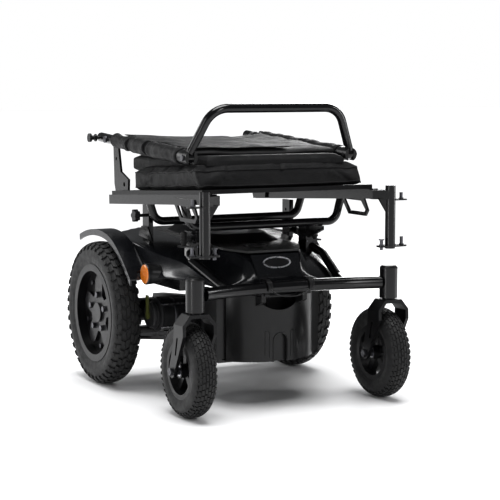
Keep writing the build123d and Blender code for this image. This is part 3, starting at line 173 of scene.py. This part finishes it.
def metal(name, colour, rough):
    """Bare or plated metal with fine streaks along X."""
    m = Mat(name, colour, rough, metal=1.0)
    m.mottle(120, 0.08)
    brushed = m.node("ShaderNodeTexNoise", Scale=300, Detail=3)
    stretch = m.node("ShaderNodeMapping")
    stretch.inputs["Scale"].default_value = (0.15, 3, 3)
    m.link(m.co, stretch.inputs["Vector"])
    m.link(stretch.outputs[0], brushed.inputs["Vector"])
    m.bump(brushed.outputs["Fac"], 0.12, 0.0003)
    m.tint(m.ranged(m.noise(60), 0.5, 0.75, 0, 0.5), tuple(c * 0.5 for c in colour))
    return m.m


def woven(name, colour, rough, thread, sheen, strength=0.5):
    """Woven cloth: warp and weft ribs, slightly uneven threads, soft large creases and a painted highlight on the
    thread crowns.
    """
    m = Mat(name, colour, rough, sheen=sheen, spec=0.16)
    warp, weft = m.waves("X", thread), m.waves("Y", thread * 1.15)
    third = m.waves("Z", thread)
    weave = m.math("ADD", m.math("MULTIPLY", warp, weft), m.math("MULTIPLY", third, 0.4))
    m.bump(weave, strength, 0.0003)
    m.bump(m.noise(55, 4), 0.35, 0.0016)
    m.mottle(40, 0.08)
    # painted highlight: where the weave stands high, the thread crowns are tinted lighter
    m.tint(m.ranged(weave, 0.1, 1.2, 0, 0.55), tuple(c * 1.8 + 0.003 for c in colour))
    return m.m


def lens_material():
    """Amber plastic with small facets, lit faintly from within."""
    m = Mat("lens_amber", (0.5, 0.17, 0.015), 0.12, coat=0.8, coat_rough=0.04)
    m.b.inputs["Emission Color"].default_value = (1.0, 0.3, 0.02, 1)
    m.b.inputs["Emission Strength"].default_value = 0.05
    facets = m.node("ShaderNodeTexVoronoi", Scale=260)
    m.link(m.co, facets.inputs["Vector"])
    m.bump(facets.outputs["Distance"], 0.5, 0.0006)
    m.tint(m.ranged(facets.outputs["Distance"], 0.2, 0.7, 0, 0.5), (0.55, 0.12, 0.005))
    m.mottle(60, 0.05)
    return m.m


FINISH = {
    "tyre_black": rubber("tyre_rubber", (0.009, 0.009, 0.0095)),
    "rim_black": coated("rim_paint", (0.004, 0.004, 0.0045), 0.36, 0.15),
    "hub_black": moulded("hub_plastic", (0.006, 0.006, 0.007), 0.36, coat=0.1),
    "frame_black": coated("frame_coat", (0.0025, 0.0025, 0.003), 0.2, 0.45),
    "fork_black": coated("fork_coat", (0.004, 0.004, 0.0045), 0.34, 0.2),
    "bright_steel": metal("zinc", (0.42, 0.42, 0.44), 0.3),
    "dark_steel": metal("blackened_steel", (0.12, 0.12, 0.13), 0.36),
    "motor_dark": coated("motor_paint", (0.009, 0.009, 0.01), 0.45, 0.1, grain=500, strength=0.2),
    "lever_yellow": moulded("lever_plastic", (0.05, 0.055, 0.012), 0.45),
    "battery_case": moulded("battery_plastic", (0.02, 0.02, 0.022), 0.5),
    "controller_grey": metal("controller_alloy", (0.08, 0.08, 0.09), 0.5),
    "shroud_black": moulded(
        "shroud_plastic", (0.006, 0.0065, 0.008), 0.22, grain=900, strength=0.03, coat=0.35
    ),
    "cover_black": moulded("cover_plastic", (0.0065, 0.0065, 0.007), 0.34, coat=0.1),
    "badge_silver": metal("badge_metal", (0.85, 0.85, 0.87), 0.3),
    "light_amber": lens_material(),
    "pan_black": coated("pan_coat", (0.0035, 0.0035, 0.004), 0.38, 0.1),
    "cushion_black": woven("cushion_nylon", (0.0075, 0.0075, 0.008), 0.55, 0.0011, 0.03),
    "sling_black": woven("sling_nylon", (0.0075, 0.0075, 0.008), 0.55, 0.0013, 0.03),
    "strap_black": woven("webbing", (0.007, 0.007, 0.008), 0.6, 0.0018, 0.03, 0.8),
    "stop_rubber": rubber("stop_rubber", (0.009, 0.009, 0.009)),
    "knob_black": moulded("knob_plastic", (0.007, 0.007, 0.0075), 0.34),
    "bar_black": coated("bar_gloss", (0.004, 0.004, 0.0045), 0.16, 0.5, grain=700, strength=0.03),
}

for part in frame["record"]["subparts"]:
    mesh = nodes[part["node"]].data
    mesh.materials.clear()
    mesh.materials.append(FINISH[part["material_slot"]])


# ---------------------------------------------------------------- helpers
def make(name, verts, faces, slot_name, body, smooth=True):
    """A mesh piece with its finish, riding on its body."""
    mesh = bpy.data.meshes.new(name)
    mesh.from_pydata([tuple(v) for v in verts], [], faces)
    mesh.update()
    bm = bmesh.new()
    bm.from_mesh(mesh)
    bmesh.ops.recalc_face_normals(bm, faces=bm.faces)
    bm.to_mesh(mesh)
    bm.free()
    obj = bpy.data.objects.new(name, mesh)
    bpy.context.collection.objects.link(obj)
    mesh.materials.append(FINISH[slot_name])
    for p in mesh.polygons:
        p.use_smooth = smooth
    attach(obj, body)
    return obj


def modify(obj, kind, **values):
    m = obj.modifiers.new("mod", kind)
    for key, value in values.items():
        setattr(m, key, value)
    return m


def applied(obj):
    """Writes the evaluated mesh back, so that no modifier stays."""
    dg = bpy.context.evaluated_depsgraph_get()
    mesh = bpy.data.meshes.new_from_object(obj.evaluated_get(dg))
    obj.modifiers.clear()
    old, obj.data = obj.data, mesh
    bpy.data.meshes.remove(old)


def tube(name, points, radius, slot_name, body, closed=False):
    """A smooth round bead along points."""
    data = bpy.data.curves.new(name, "CURVE")
    data.dimensions = "3D"
    data.bevel_depth = radius
    data.bevel_resolution = 4
    spline = data.splines.new("POLY")
    spline.points.add(len(points) - 1)
    for p, q in zip(spline.points, points):
        p.co = (*q, 1)
    spline.use_cyclic_u = closed
    data.use_fill_caps = True
    data.materials.append(FINISH[slot_name])
    obj = bpy.data.objects.new(name, data)
    bpy.context.collection.objects.link(obj)
    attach(obj, body)
    return obj


def tree(obj):
    dg = bpy.context.evaluated_depsgraph_get()
    return BVHTree.FromObject(obj, dg)


def laid_on(target, points, lift):
    """The points, moved on to the target's surface and lifted off it a little."""
    bvh = tree(target)
    out = []
    for p in points:
        place, normal, _, _ = bvh.find_nearest(Vector(p))
        out.append(place + normal * lift)
    return out


def run(a, b, count):
    """Evenly spaced points from a up to, but not at, b."""
    return [Vector(a).lerp(Vector(b), i / count) for i in range(count)]


def loop(corners, per_side=40):
    """A closed round of evenly spaced points through the corners."""
    out = []
    for i, c in enumerate(corners):
        out += run(c, corners[(i + 1) % len(corners)], per_side)
    return out


# ---------------------------------------------------------------- tyres
def tyre(name, node, body, profile, rows, pitches, depth):
    """A revolved carcass with moulded tread blocks, in mm.

    profile is (x, r) from the crown outwards. A row of blocks is (start and end along the profile, place and
    length round the tyre as shares of a pitch, skew). depth is how far a block stands out.
    """
    lo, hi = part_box(node)
    centre = (Vector(lo) + Vector(hi)) / 2
    reach = [0.0]
    for (x0, r0), (x1, r1) in zip(profile, profile[1:]):
        reach.append(reach[-1] + math.hypot(x1 - x0, r1 - r0))

    def place(s, angle, h):
        """The point s along the profile, at this angle round the tyre, h off the surface."""
        a, side = abs(s), (1 if s >= 0 else -1)
        i = max(k for k in range(len(reach) - 1) if reach[k] <= a)
        t = (a - reach[i]) / (reach[i + 1] - reach[i])
        (x0, r0), (x1, r1) = profile[i], profile[i + 1]
        n = Vector((-(r1 - r0), x1 - x0)).normalized()
        x, r = x0 + (x1 - x0) * t + n[0] * h, r0 + (r1 - r0) * t + n[1] * h
        return centre + Vector((side * x, r * cos(angle), r * sin(angle))) * MM

    verts, faces = [], []
    around = 120
    bead = reach[-1] - 1e-6  # just short of the profile's end, so that place() finds a stretch
    ring = [-s for s in reversed(reach[1:])] + reach
    for i in range(around):
        for s in ring:
            verts.append(place(max(-bead, min(bead, s)), 2 * pi * i / around, 0))
    count = len(ring)
    for i in range(around):
        for k in range(count):
            a, b = i * count + k, i * count + (k + 1) % count
            c, d = ((i + 1) % around) * count + (k + 1) % count, ((i + 1) % around) * count + k
            faces.append((a, b, c, d))
    carcass = make(name, verts, faces, "tyre_black", body)
    verts, faces = [], []
    crown = profile[0][1]
    chamfer = 0.7
    root = -1.0
    edge = chamfer / crown
    steps, section = 3, 6
    for p in range(pitches):
        for s0, s1, start, length, skew in rows:
            for side in (-1, 1):
                first = len(verts)
                shift = 0.5 if side > 0 else 0.0
                for j in range(steps + 1):
                    f = j / steps
                    s = (s0 + (s1 - s0) * f) * side
                    mid = (p + start + shift + skew * f) * 2 * pi / pitches
                    half = length / 2 * 2 * pi / pitches
                    if j in (0, steps):
                        half -= edge * 0.7
                    shoulder = depth - chamfer
                    for angle, h in (
                        (mid - half, root), (mid - half, shoulder), (mid - half + edge, depth),
                        (mid + half - edge, depth), (mid + half, shoulder), (mid + half, root),
                    ):
                        verts.append(place(s, angle, h))
                for j in range(steps):
                    for k in range(section - 1):
                        a = first + j * section + k
                        faces.append((a, a + 1, a + section + 1, a + section))
                faces.append(tuple(first + k for k in range(section)))
                faces.append(tuple(first + steps * section + k for k in reversed(range(section))))
    make(name + "_tread", verts, faces, "tyre_black", body, smooth=False)
    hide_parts(node)


DRIVE_TYRE = dict(
    profile=[
        (0, 179.6), (9, 179.2), (18, 177.4), (25, 174), (30, 169), (33.2, 161), (34.6, 152), (34, 144),
        (32.6, 141), (32.6, 138), (31, 134), (28.6, 127), (28, 125), (27.4, 119),
    ],
    rows=[
        (0.8, 9.4, 0.0, 0.74, 0.16),
        (11.0, 19.6, 0.28, 0.7, -0.16),
        (21.4, 30.5, 0.55, 0.62, 0.1),
        (32.0, 39.0, 0.55, 0.42, 0.0),
    ],
    pitches=42,
    depth=4.2,
)
CASTER_TYRE = dict(
    profile=[
        (0, 108.6), (8, 108.1), (15, 106.2), (20.5, 102.6), (24.6, 97), (27, 90), (27.9, 82), (27, 75),
        (25.6, 72), (25.6, 70), (24, 67.5), (22.2, 63.5),
    ],
    rows=[
        (0.6, 6.6, 0.0, 0.84, 0.0),
        (8.2, 14.2, 0.25, 0.84, 0.0),
        (15.8, 21.4, 0.5, 0.84, 0.0),
        (23.0, 28.0, 0.5, 0.5, 0.0),
    ],
    pitches=44,
    depth=2.9,
)
for side in ("left", "right"):
    for wheel, sizes in (("drive", DRIVE_TYRE), ("caster", CASTER_TYRE)):
        tyre(f"{wheel}_tyre_skin_{side}", f"{wheel}_tyre_{side}", f"{wheel}_wheel_{side}", **sizes)


# ---------------------------------------------------------------- smooth covers
axle = Vector(joints["drive_wheel_left_spin"]["pos_m"])


def ahead(x, distance, z):
    """A point this far ahead of the drive axle, in mm."""
    return Vector((x * MM, axle.y - distance * MM, z * MM))


# distance, then (x, z) of the top's edge, of the facet below it, of the ridge and of the skirt
shroud_stations = (
    (-86, (140, 392), (185, 384), (232, 374), (236, 300)),
    (-30, (143, 389), (187, 383), (234, 378), (237, 300)),
    (40, (145, 386), (188, 382), (236, 380), (238, 300)),
    (100, (143, 383), (184, 379), (236, 374), (238, 299)),
    (150, (140, 380), (178, 376), (234, 366), (238, 297)),
    (215, (125, 376), (160, 369), (212, 349), (235, 296)),
    (262, (118, 374), (146, 364), (198, 344), (223, 298)),
    (306, (112, 372), (132, 358), (185, 337), (211, 300)),
    (356, (110, 369), (116, 357), (183, 322), (194, 299)),
    (415, (72, 366), (98, 327), (170, 302), (173, 295)),
    (443, (62, 312), (92, 301), (149, 291), (152, 286)),
)


def shroud_half(top, facet, ridge, skirt):
    """(x, z) of one side of the shroud's section, from the middle of the top down to the skirt."""
    return [
        (0, top[1] + 1.2),
        (top[0] * 0.55, top[1] + 0.8),
        (top[0] - 5, top[1]),
        (top[0], top[1] - 0.6),
        ((top[0] + facet[0]) / 2, (top[1] + facet[1]) / 2 + 0.3),
        facet,
        ((facet[0] + ridge[0]) / 2, (facet[1] + ridge[1]) / 2 - 1.5),
        (ridge[0] - 4, ridge[1] + 1),
        ridge,
        (ridge[0] + 1, ridge[1] - 5),
        ((ridge[0] + skirt[0]) / 2 - 2, (ridge[1] + skirt[1]) / 2),
        (skirt[0], skirt[1] + 3),
        skirt,
    ]


def make_shroud():
    """A smoothed skin over the sections, creased along the top's edge and the ridge."""
    verts, faces = [], []
    for distance, *corners in shroud_stations:
        half = shroud_half(*corners)
        ring = [(-x, z) for x, z in reversed(half[1:])] + half
        n = len(ring)
        verts += [ahead(x, distance, z) for x, z in ring]
    for j in range(len(shroud_stations) - 1):
        for i in range(n - 1):
            a = j * n + i
            faces.append((a, a + 1, a + n + 1, a + n))
    faces.append(tuple(range(n)))
    faces.append(tuple((len(shroud_stations) - 1) * n + i for i in range(n)))
    shroud = make("shroud_skin", verts, faces, "shroud_black", "base")
    crease = shroud.data.attributes.new("crease_edge", "FLOAT", "EDGE")
    ends = (0, len(shroud_stations) - 1)
    top_edge, ridge_edge = 3, 8  # places in shroud_half's list
    for e in shroud.data.edges:
        a, b = e.vertices
        across = a // n == b // n
        column = abs(a % n - n // 2)
        if across and a // n in ends:
            crease.data[e.index].value = 0.85
        elif not across and column in (top_edge, ridge_edge):
            crease.data[e.index].value = 0.45
    modify(shroud, "SUBSURF", levels=2, render_levels=2)
    modify(shroud, "SOLIDIFY", thickness=0.003, offset=-1)
    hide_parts("base_shroud")


make_shroud()


def lathe(name, centre, profile, slot_name, body, around=64):
    """Revolves (x, r) in mm about an axle along X through centre; x runs outwards from the centre plane."""
    side = 1 if centre.x >= 0 else -1
    verts, faces = [], []
    for i in range(around):
        a = 2 * pi * i / around
        for x, r in profile:
            verts.append(Vector((side * x * MM, centre.y + r * MM * cos(a), centre.z + r * MM * sin(a))))
    n = len(profile)
    for i in range(around):
        for k in range(n):
            m = (k + 1) % n
            j = (i + 1) % around
            faces.append((i * n + k, i * n + m, j * n + m, j * n + k))
    obj = make(name, verts, faces, slot_name, body)
    modify(obj, "BEVEL", width=0.0005, segments=2, limit_method="ANGLE")


MOTOR_BELL = [
    (205, 30), (205, 41), (208.5, 42.2), (212, 41), (212, 32), (216, 32), (216, 33.5), (219, 33.5),
    (219, 31.5), (223, 31.5), (223, 33), (228, 32), (231, 28), (231, 14), (229, 12), (207, 12),
]
MOTOR_BAND = [(168, 39.1), (168, 40.4), (176, 40.4), (176, 39.1)]
LAMP_BEZEL = [
    (246.6, 24.2), (246.6, 26.3), (250.5, 26.3), (252.5, 25), (252.5, 23.2), (250, 22.6), (247.5, 24.1),
]
motor_y, motor_z = axle.y - 0.190, 0.198
screw_circle, screw_r = 0.0405, 0.0022
screw_from, screw_to = 0.126, 0.211
lens_x, lens_r, rib_pitch, rib_r = 0.2551, 0.0196, 0.0068, 0.0009

for side in (-1, 1):
    word = "left" if side > 0 else "right"
    motor = Vector((side * 0.2, motor_y, motor_z))
    lathe(f"motor_end_bell_{word}", motor, MOTOR_BELL, "motor_dark", "base")
    lathe(f"motor_band_{word}", motor, MOTOR_BAND, "dark_steel", "base")
    for k in range(4):
        a = pi / 4 + k * pi / 2
        p = motor + Vector((0, screw_circle * cos(a), screw_circle * sin(a)))
        ends = [Vector((side * screw_from, p.y, p.z)), Vector((side * screw_to, p.y, p.z))]
        tube(f"motor_screw_{word}_{k}", ends, screw_r, "bright_steel", "base")
    # a bezel and ribs on the side light
    lamp = ahead(side * 250, 214.5, 305)
    lathe(f"lamp_bezel_{word}", lamp, LAMP_BEZEL, "cover_black", "base")
    for k in range(5):
        up = (k - 2) * rib_pitch
        z = lamp.z + up
        reach = math.sqrt(lens_r ** 2 - up ** 2)
        ends = [Vector((side * lens_x, lamp.y - reach, z)), Vector((side * lens_x, lamp.y + reach, z))]
        tube(f"lamp_rib_{word}_{k}", ends, rib_r, "light_amber", "base")

# the dark oval ground inside the badge's rim, on the slanted nose panel
badge_lo, badge_hi = (Vector(v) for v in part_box("badge"))
badge_mid = (badge_lo + badge_hi) / 2
nose = math.radians(62.6)
nose_out, nose_up = Vector((0, -sin(nose), cos(nose))), Vector((0, cos(nose), sin(nose)))


def oval(name, wide, high, lift, thick, slot_name):
    """A low domed oval on the nose panel. wide and high are its half sizes."""
    rings = ((1.0, 0.0), (1.0, thick * 0.6), (0.94, thick), (0.5, thick * 1.15))
    around = 48
    verts, faces = [], []
    for w, h in rings:
        for i in range(around):
            a = 2 * pi * i / around
            flat = X * (wide * w * cos(a)) + nose_up * (high * w * sin(a))
            verts.append(badge_mid + flat + nose_out * (lift + h))
    for j in range(len(rings) - 1):
        for i in range(around):
            k = (i + 1) % around
            faces.append((j * around + i, j * around + k, (j + 1) * around + k, (j + 1) * around + i))
    faces.append(tuple(range(around)))
    faces.append(tuple((len(rings) - 1) * around + i for i in range(around)))
    make(name, verts, faces, slot_name, "base")


oval("badge_ground", 0.0340, 0.0116, -0.0001, 0.0005, "cover_black")


# ---------------------------------------------------------------- raised lines on the battery cover
cover_lo, cover_hi = (Vector(v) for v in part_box("battery_cover"))
cover_tree = tree(nodes["battery_cover"])


def on_cover(x, z, lift=0.0004):
    """The cover's front face straight ahead of this x and z."""
    hit, _, _, _ = cover_tree.ray_cast(Vector((x, cover_lo.y - 0.1, z)), Vector((0, 1, 0)))
    return (hit or Vector((x, cover_lo.y, z))) + Vector((0, -lift, 0))


def cover_line(name, outline, radius):
    """A raised line on the cover along (x, z) points."""
    tube(name, [on_cover(x, z) for x, z in outline], radius, "cover_black", "base")


groove_half, groove_top = 0.0195, cover_lo.z + 0.070
arch = [(-groove_half, cover_lo.z + 0.004 + 0.002 * i) for i in range(23)]
leg = list(arch)
for i in range(1, 24):
    a = pi * i / 24
    arch.append((-groove_half * cos(a), groove_top - groove_half + groove_half * sin(a)))
arch += [(groove_half, z) for _, z in reversed(leg)]
cover_line("cover_groove_lip", arch, 0.0013)
for side in (-1, 1):
    word = "left" if side > 0 else "right"
    inner, outer = side * 0.0290, side * 0.0400
    low, high = cover_lo.z + 0.010, cover_lo.z + 0.074
    corners = [(inner, low), (inner, high - 0.004), (inner + side * 0.002, high), (outer, high), (outer, low)]
    dense = []
    for (x0, z0), (x1, z1) in zip(corners, corners[1:]):
        dense += [(x0 + (x1 - x0) * i / 12, z0 + (z1 - z0) * i / 12) for i in range(12)]
    cover_line(f"cover_side_line_{word}", dense, 0.0008)
grip_half, grip_deep = 0.062, 0.034
grip = []
for i in range(2, 47):
    a = pi + pi * i / 48
    grip.append((grip_half * cos(a), cover_hi.z - 0.006 + grip_deep * sin(a) - 0.0012))
cover_line("cover_grip_lip", grip, 0.0014)


# ---------------------------------------------------------------- soft goods
def wrinkle(p, scale, seed):
    """Soft creases: ridged noise, -1 to 1."""
    q = Vector((p.x * scale, p.y * scale * 1.7, p.z * scale + seed))
    return 1 - 2 * abs(noise.noise(q)) * 1.6 + 0.5 * noise.noise(q * 2.7)


def puffed(name, node, slot_name, body, shrink, voxel, pressure, cap):
    """The CAD solid's space as a stuffed piece: remeshed, blown up by a cloth run, with every move capped."""
    source = nodes[node]
    obj = bpy.data.objects.new(name, source.data.copy())
    bpy.context.collection.objects.link(obj)
    lo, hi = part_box(node)
    centre = (Vector(lo) + Vector(hi)) / 2
    for v in obj.data.vertices:
        d = v.co - centre
        v.co = centre + Vector([d[i] * (1 - shrink[i] * MM * 2 / (hi[i] - lo[i])) for i in range(3)])
    modify(obj, "REMESH", mode="VOXEL", voxel_size=voxel)
    applied(obj)
    rest = [v.co.copy() for v in obj.data.vertices]
    cloth = modify(obj, "CLOTH")
    s = cloth.settings
    s.quality = 4
    s.mass = 0.3
    s.tension_stiffness = s.compression_stiffness = 12
    s.shear_stiffness = 5
    s.bending_stiffness = 0.4
    s.use_pressure = True
    s.uniform_pressure_force = pressure
    s.effector_weights.gravity = 0
    cloth.point_cache.frame_start, cloth.point_cache.frame_end = 1, 20
    scene = bpy.context.scene
    for f in range(1, 21):
        scene.frame_set(f)
    applied(obj)
    scene.frame_set(1)
    for v, r in zip(obj.data.vertices, rest):
        move = v.co - r
        if move.length > cap:
            v.co = r + move * (cap / move.length)
    for p in obj.data.polygons:
        p.use_smooth = True
    obj.data.materials.clear()
    obj.data.materials.append(FINISH[slot_name])
    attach(obj, body)
    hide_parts(node)
    return obj


seat_tilt = math.radians(3.6)
seat_up = Vector((0, sin(seat_tilt), cos(seat_tilt)))
seat_fwd = Vector((0, -cos(seat_tilt), sin(seat_tilt)))
lo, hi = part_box("seat_cushion")
cushion_rear = Vector((0, hi[1], lo[2]))
half_w = (hi[0] - lo[0]) / 2


def seat_at(x, forward, up):
    """A point ahead of and above the cushion's rear lower edge, in the tilted seat's own directions."""
    return cushion_rear + X * x + seat_fwd * forward + seat_up * up


cushion = puffed(
    "cushion_cover", "seat_cushion", "cushion_black", "base",
    shrink=(5, 5, 4), voxel=0.005, pressure=4.0, cap=0.012,
)
# shallow creases that fade towards the pan, and an underside kept just off it
cushion_mid = Vector((0, (lo[1] + hi[1]) / 2, (lo[2] + hi[2]) / 2))
crease_depth, fade_height, off_pan = 0.0012, 0.02, 0.0004
for v in cushion.data.vertices:
    h = (v.co - cushion_rear).dot(seat_up)
    amount = crease_depth * max(0.0, min(1.0, h / fade_height))
    v.co += (v.co - cushion_mid).normalized() * wrinkle(v.co, 13, 3) * amount
    h = (v.co - cushion_rear).dot(seat_up)
    if h < off_pan:
        v.co += seat_up * (off_pan - h)
modify(cushion, "SUBSURF", levels=1, render_levels=1)


def seat_corners(inset, front, height):
    """The four corners of the cushion's outline at this height."""
    x, rear = half_w - inset, 0.004
    return [seat_at(a, b, height) for a, b in ((x, rear), (x, front), (-x, front), (-x, rear))]


top = seat_corners(0.004, 0.376, 0.047)
low = seat_corners(0.003, 0.397, 0.006)
for name, path in (("cushion_piping_top", loop(top)), ("cushion_piping_low", loop(low))):
    tube(name, laid_on(cushion, path, 0.0006), 0.0021, "cushion_black", "base", closed=True)
for i, (a, b) in enumerate(zip(low, top)):
    tube(f"cushion_corner_seam_{i}", laid_on(cushion, run(a, b, 12), 0.0002), 0.0012, "cushion_black", "base")

pad = puffed(
    "back_pad_cover", "back_pad", "sling_black", "backrest",
    shrink=(4, 4, 3), voxel=0.005, pressure=3.0, cap=0.009,
)
modify(pad, "SUBSURF", levels=1, render_levels=1)

pivot = Vector(joints["back_fold"]["pos_m"])
fold_tilt = math.radians(3.4)
fold_back = Vector((0, cos(fold_tilt), sin(fold_tilt)))
fold_up = Vector((0, -sin(fold_tilt), cos(fold_tilt)))
post_x = 0.218


def fold_at(x, behind, up):
    """A point behind and above the back's pivot, in the folded back's own directions."""
    return pivot + X * x + fold_back * behind + fold_up * up


pad_tree = tree(pad)


def pad_height(x, y):
    """Height of the pad's top over the post plane, or well below it off the pad."""
    hit, _, _, _ = pad_tree.ray_cast(fold_at(x, -y, 0.2), -fold_up)
    return (hit - fold_at(x, -y, 0)).dot(fold_up) if hit else -0.04


def sling_panel(name, x0, x1, y0, y1, thick, lift, sag, crease, seed, droop=0.0, nx=90, ny=80):
    """A quilted panel between the sleeves: top and under sheets joined round the edge, resting on the pad."""
    verts, faces = [], []
    for layer in (1, -1):
        for j in range(ny + 1):
            for i in range(nx + 1):
                u, v = i / nx, j / ny
                x, y = x0 + (x1 - x0) * u, y0 + (y1 - y0) * v
                edge = min(1.0, 10 * min(u, 1 - u), 10 * min(v, 1 - v))
                roll = math.sqrt(max(0.0, 1 - (1 - edge) ** 2))
                span = sin(pi * (x + post_x) / (2 * post_x))
                base = lift - sag * (1.5 - 1.2 * v) * span - droop * v ** 3 * (0.3 + 0.7 * span)
                wave = crease * wrinkle(Vector((x, y, 0)), 7, seed) * roll
                height = base + layer * thick / 2 * roll + wave
                floor_at = pad_height(x, y) + 0.001 if layer < 0 and droop else height
                if floor_at < height:
                    height = min(height, max(floor_at, height - 0.030 * roll))
                verts.append(fold_at(x, -y, height))
    row = nx + 1
    size = row * (ny + 1)
    for j in range(ny):
        for i in range(nx):
            a = j * row + i
            faces.append((a, a + 1, a + row + 1, a + row))
            faces.append((size + a, size + a + row, size + a + row + 1, size + a + 1))
    border = [i for i in range(nx)] + [j * row + nx for j in range(ny)]
    border += [ny * row + i for i in range(nx, 0, -1)] + [j * row for j in range(ny, 0, -1)]
    for k, a in enumerate(border):
        b = border[(k + 1) % len(border)]
        faces.append((a, b, size + b, size + a))
    obj = make(name, verts, faces, "sling_black", "backrest")
    modify(obj, "WELD", merge_threshold=0.00001)
    modify(obj, "SMOOTH", factor=0.6, iterations=6)
    modify(obj, "SUBSURF", levels=1, render_levels=1)
    return obj


def sleeve(name, side, y0, y1, seed):
    """A fabric sleeve round the post, wrinkled along its length, with rolled hems."""
    verts, faces = [], []
    ny, na = 40, 36
    outside, inside, hem_rise, wrinkle_depth = 0.0182, 0.0131, 0.0012, 0.0020
    for j in range(ny + 1):
        v = j / ny
        y = y0 + (y1 - y0) * v
        hem = hem_rise * (math.exp(-((v * ny - 1.5) ** 2)) + math.exp(-(((1 - v) * ny - 1.5) ** 2)))
        for i in range(na):
            a = 2 * pi * i / na
            around = Vector((cos(a) * 0.03, y, sin(a) * 0.03 + side))
            r = outside + hem + wrinkle_depth * wrinkle(around, 17, seed)
            verts.append(fold_at(side * post_x + r * cos(a), -y, r * sin(a)))
    for j in range(ny + 1):
        if j in (0, ny):
            for i in range(na):
                a = 2 * pi * i / na
                y = y0 if j == 0 else y1
                verts.append(fold_at(side * post_x + inside * cos(a), -y, inside * sin(a)))
    for j in range(ny):
        for i in range(na):
            a, b = j * na + i, j * na + (i + 1) % na
            faces.append((a, b, b + na, a + na))
    inner = (ny + 1) * na
    for i in range(na):
        k = (i + 1) % na
        faces.append((i, k, inner + k, inner + i))
        faces.append((ny * na + i, ny * na + k, inner + na + k, inner + na + i))
    obj = make(name, verts, faces, "sling_black", "backrest")
    modify(obj, "SUBSURF", levels=1, render_levels=1)


# distances ahead of the pivot of the gaps between sleeves, and of the sleeves
gaps = ((0.142, 0.158), (0.250, 0.266))
spans = [(0.045, gaps[0][0]), (gaps[0][1], gaps[1][0]), (gaps[1][1], 0.443)]
sling = sling_panel(
    "sling_cover", -0.212, 0.212, 0.046, 0.446, thick=0.016, lift=0.0085, sag=0.008, crease=0.0030, seed=1,
    droop=0.006,
)
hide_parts("back_sling", "back_straps")
sling_panel(
    "sling_flap", -0.207, 0.085, 0.054, 0.436, thick=0.006, lift=0.0180, sag=0.008, crease=0.0030, seed=1,
)
strap_r, strap_thick, strap_points = 0.0150, 0.0022, 40
for side in (-1, 1):
    word = "left" if side > 0 else "right"
    for k, (near, far) in enumerate(spans):
        sleeve(f"sling_sleeve_{word}_{k}", side, near, far, 5 + k)
        if k < len(gaps):
            mid = (spans[k][1] + spans[k + 1][0]) / 2
            ring = []
            for i in range(strap_points):
                a = 2 * pi * i / strap_points
                ring.append(fold_at(side * post_x + strap_r * cos(a), -mid, strap_r * sin(a)))
            tube(f"sling_strap_{word}_{k}", ring, strap_thick, "strap_black", "backrest", closed=True)


# ---------------------------------------------------------------- stage, light and camera
def area(name, place, aim, size, power, size_y=None):
    """A rectangular lamp at place, facing aim."""
    data = bpy.data.lights.new(name, "AREA")
    data.energy = power
    data.shape = "RECTANGLE"
    data.size = size
    data.size_y = size_y or size
    obj = bpy.data.objects.new(name, data)
    bpy.context.collection.objects.link(obj)
    obj.location = place
    obj.rotation_euler = (Vector(aim) - Vector(place)).to_track_quat("-Z", "Y").to_euler()


floor_mesh = bpy.data.meshes.new("floor")
far = 40
floor_mesh.from_pydata([(-far, -far, 0), (far, -far, 0), (far, far, 0), (-far, far, 0)], [], [(0, 1, 2, 3)])
floor = bpy.data.objects.new("floor", floor_mesh)
bpy.context.collection.objects.link(floor)
stage_mat = Mat("floor_paper", (0.95, 0.95, 0.955), 0.6, spec=0.0)
gloss = stage_mat.node("ShaderNodeBsdfAnisotropic", Roughness=0.1, Color=(1, 1, 1, 1))
layered = stage_mat.node("ShaderNodeMixShader", Fac=0.24)
stage_mat.link(stage_mat.b.outputs[0], layered.inputs[1])
stage_mat.link(gloss.outputs[0], layered.inputs[2])
stage_mat.link(layered.outputs[0], stage_mat.t.nodes["Material Output"].inputs["Surface"])
floor_mesh.materials.append(stage_mat.m)

# the camera sees a white backdrop, and everything else a dim fill
world = bpy.data.worlds.new("studio")
bpy.context.scene.world = world
world.use_nodes = True
tree_w = world.node_tree
backdrop = tree_w.nodes["Background"]
backdrop.inputs["Color"].default_value = (1, 1, 1, 1)
backdrop.inputs["Strength"].default_value = 1.0
fill = tree_w.nodes.new("ShaderNodeBackground")
fill.inputs["Color"].default_value = (0.95, 0.97, 1, 1)
fill.inputs["Strength"].default_value = 0.13
paths = tree_w.nodes.new("ShaderNodeLightPath")
mixed = tree_w.nodes.new("ShaderNodeMixShader")
tree_w.links.new(paths.outputs["Is Camera Ray"], mixed.inputs[0])
tree_w.links.new(fill.outputs[0], mixed.inputs[1])
tree_w.links.new(backdrop.outputs[0], mixed.inputs[2])
tree_w.links.new(mixed.outputs[0], tree_w.nodes["World Output"].inputs["Surface"])
bpy.context.scene.view_settings.view_transform = "Standard"
bpy.context.scene.view_settings.gamma = 0.86

overhead = bpy.data.lights.new("overhead", "SUN")
overhead.energy = 4.2
overhead.angle = math.radians(45)
bpy.context.collection.objects.link(bpy.data.objects.new("overhead", overhead))
area("left_strip", (-2.6, -1.3, 1.1), (0, 0, 0.4), 0.22, 26, size_y=2.2)
area("front_strip", (0.4, -3.4, 1.7), (0, 0, 0.4), 0.4, 16, size_y=1.6)
area("right_strip", (2.5, -1.2, 1.2), (0, 0, 0.4), 0.25, 26, size_y=2.2)
area("rear_left", (-1.9, 2.4, 1.5), (0, 0, 0.4), 0.8, 40, size_y=1.6)
area("rear_right", (2.0, 2.4, 1.7), (0, 0, 0.5), 1.2, 40)

camera = bpy.data.cameras.new("camera")
camera.sensor_width = 36
camera.lens = 107.88
camera.clip_end = 100
eye = bpy.data.objects.new("camera", camera)
bpy.context.collection.objects.link(eye)
eye.location = (-1.7223, -3.3745, 0.7636)
eye.rotation_euler = (math.radians(83.788), 0, math.radians(-27.645))
bpy.context.scene.camera = eye
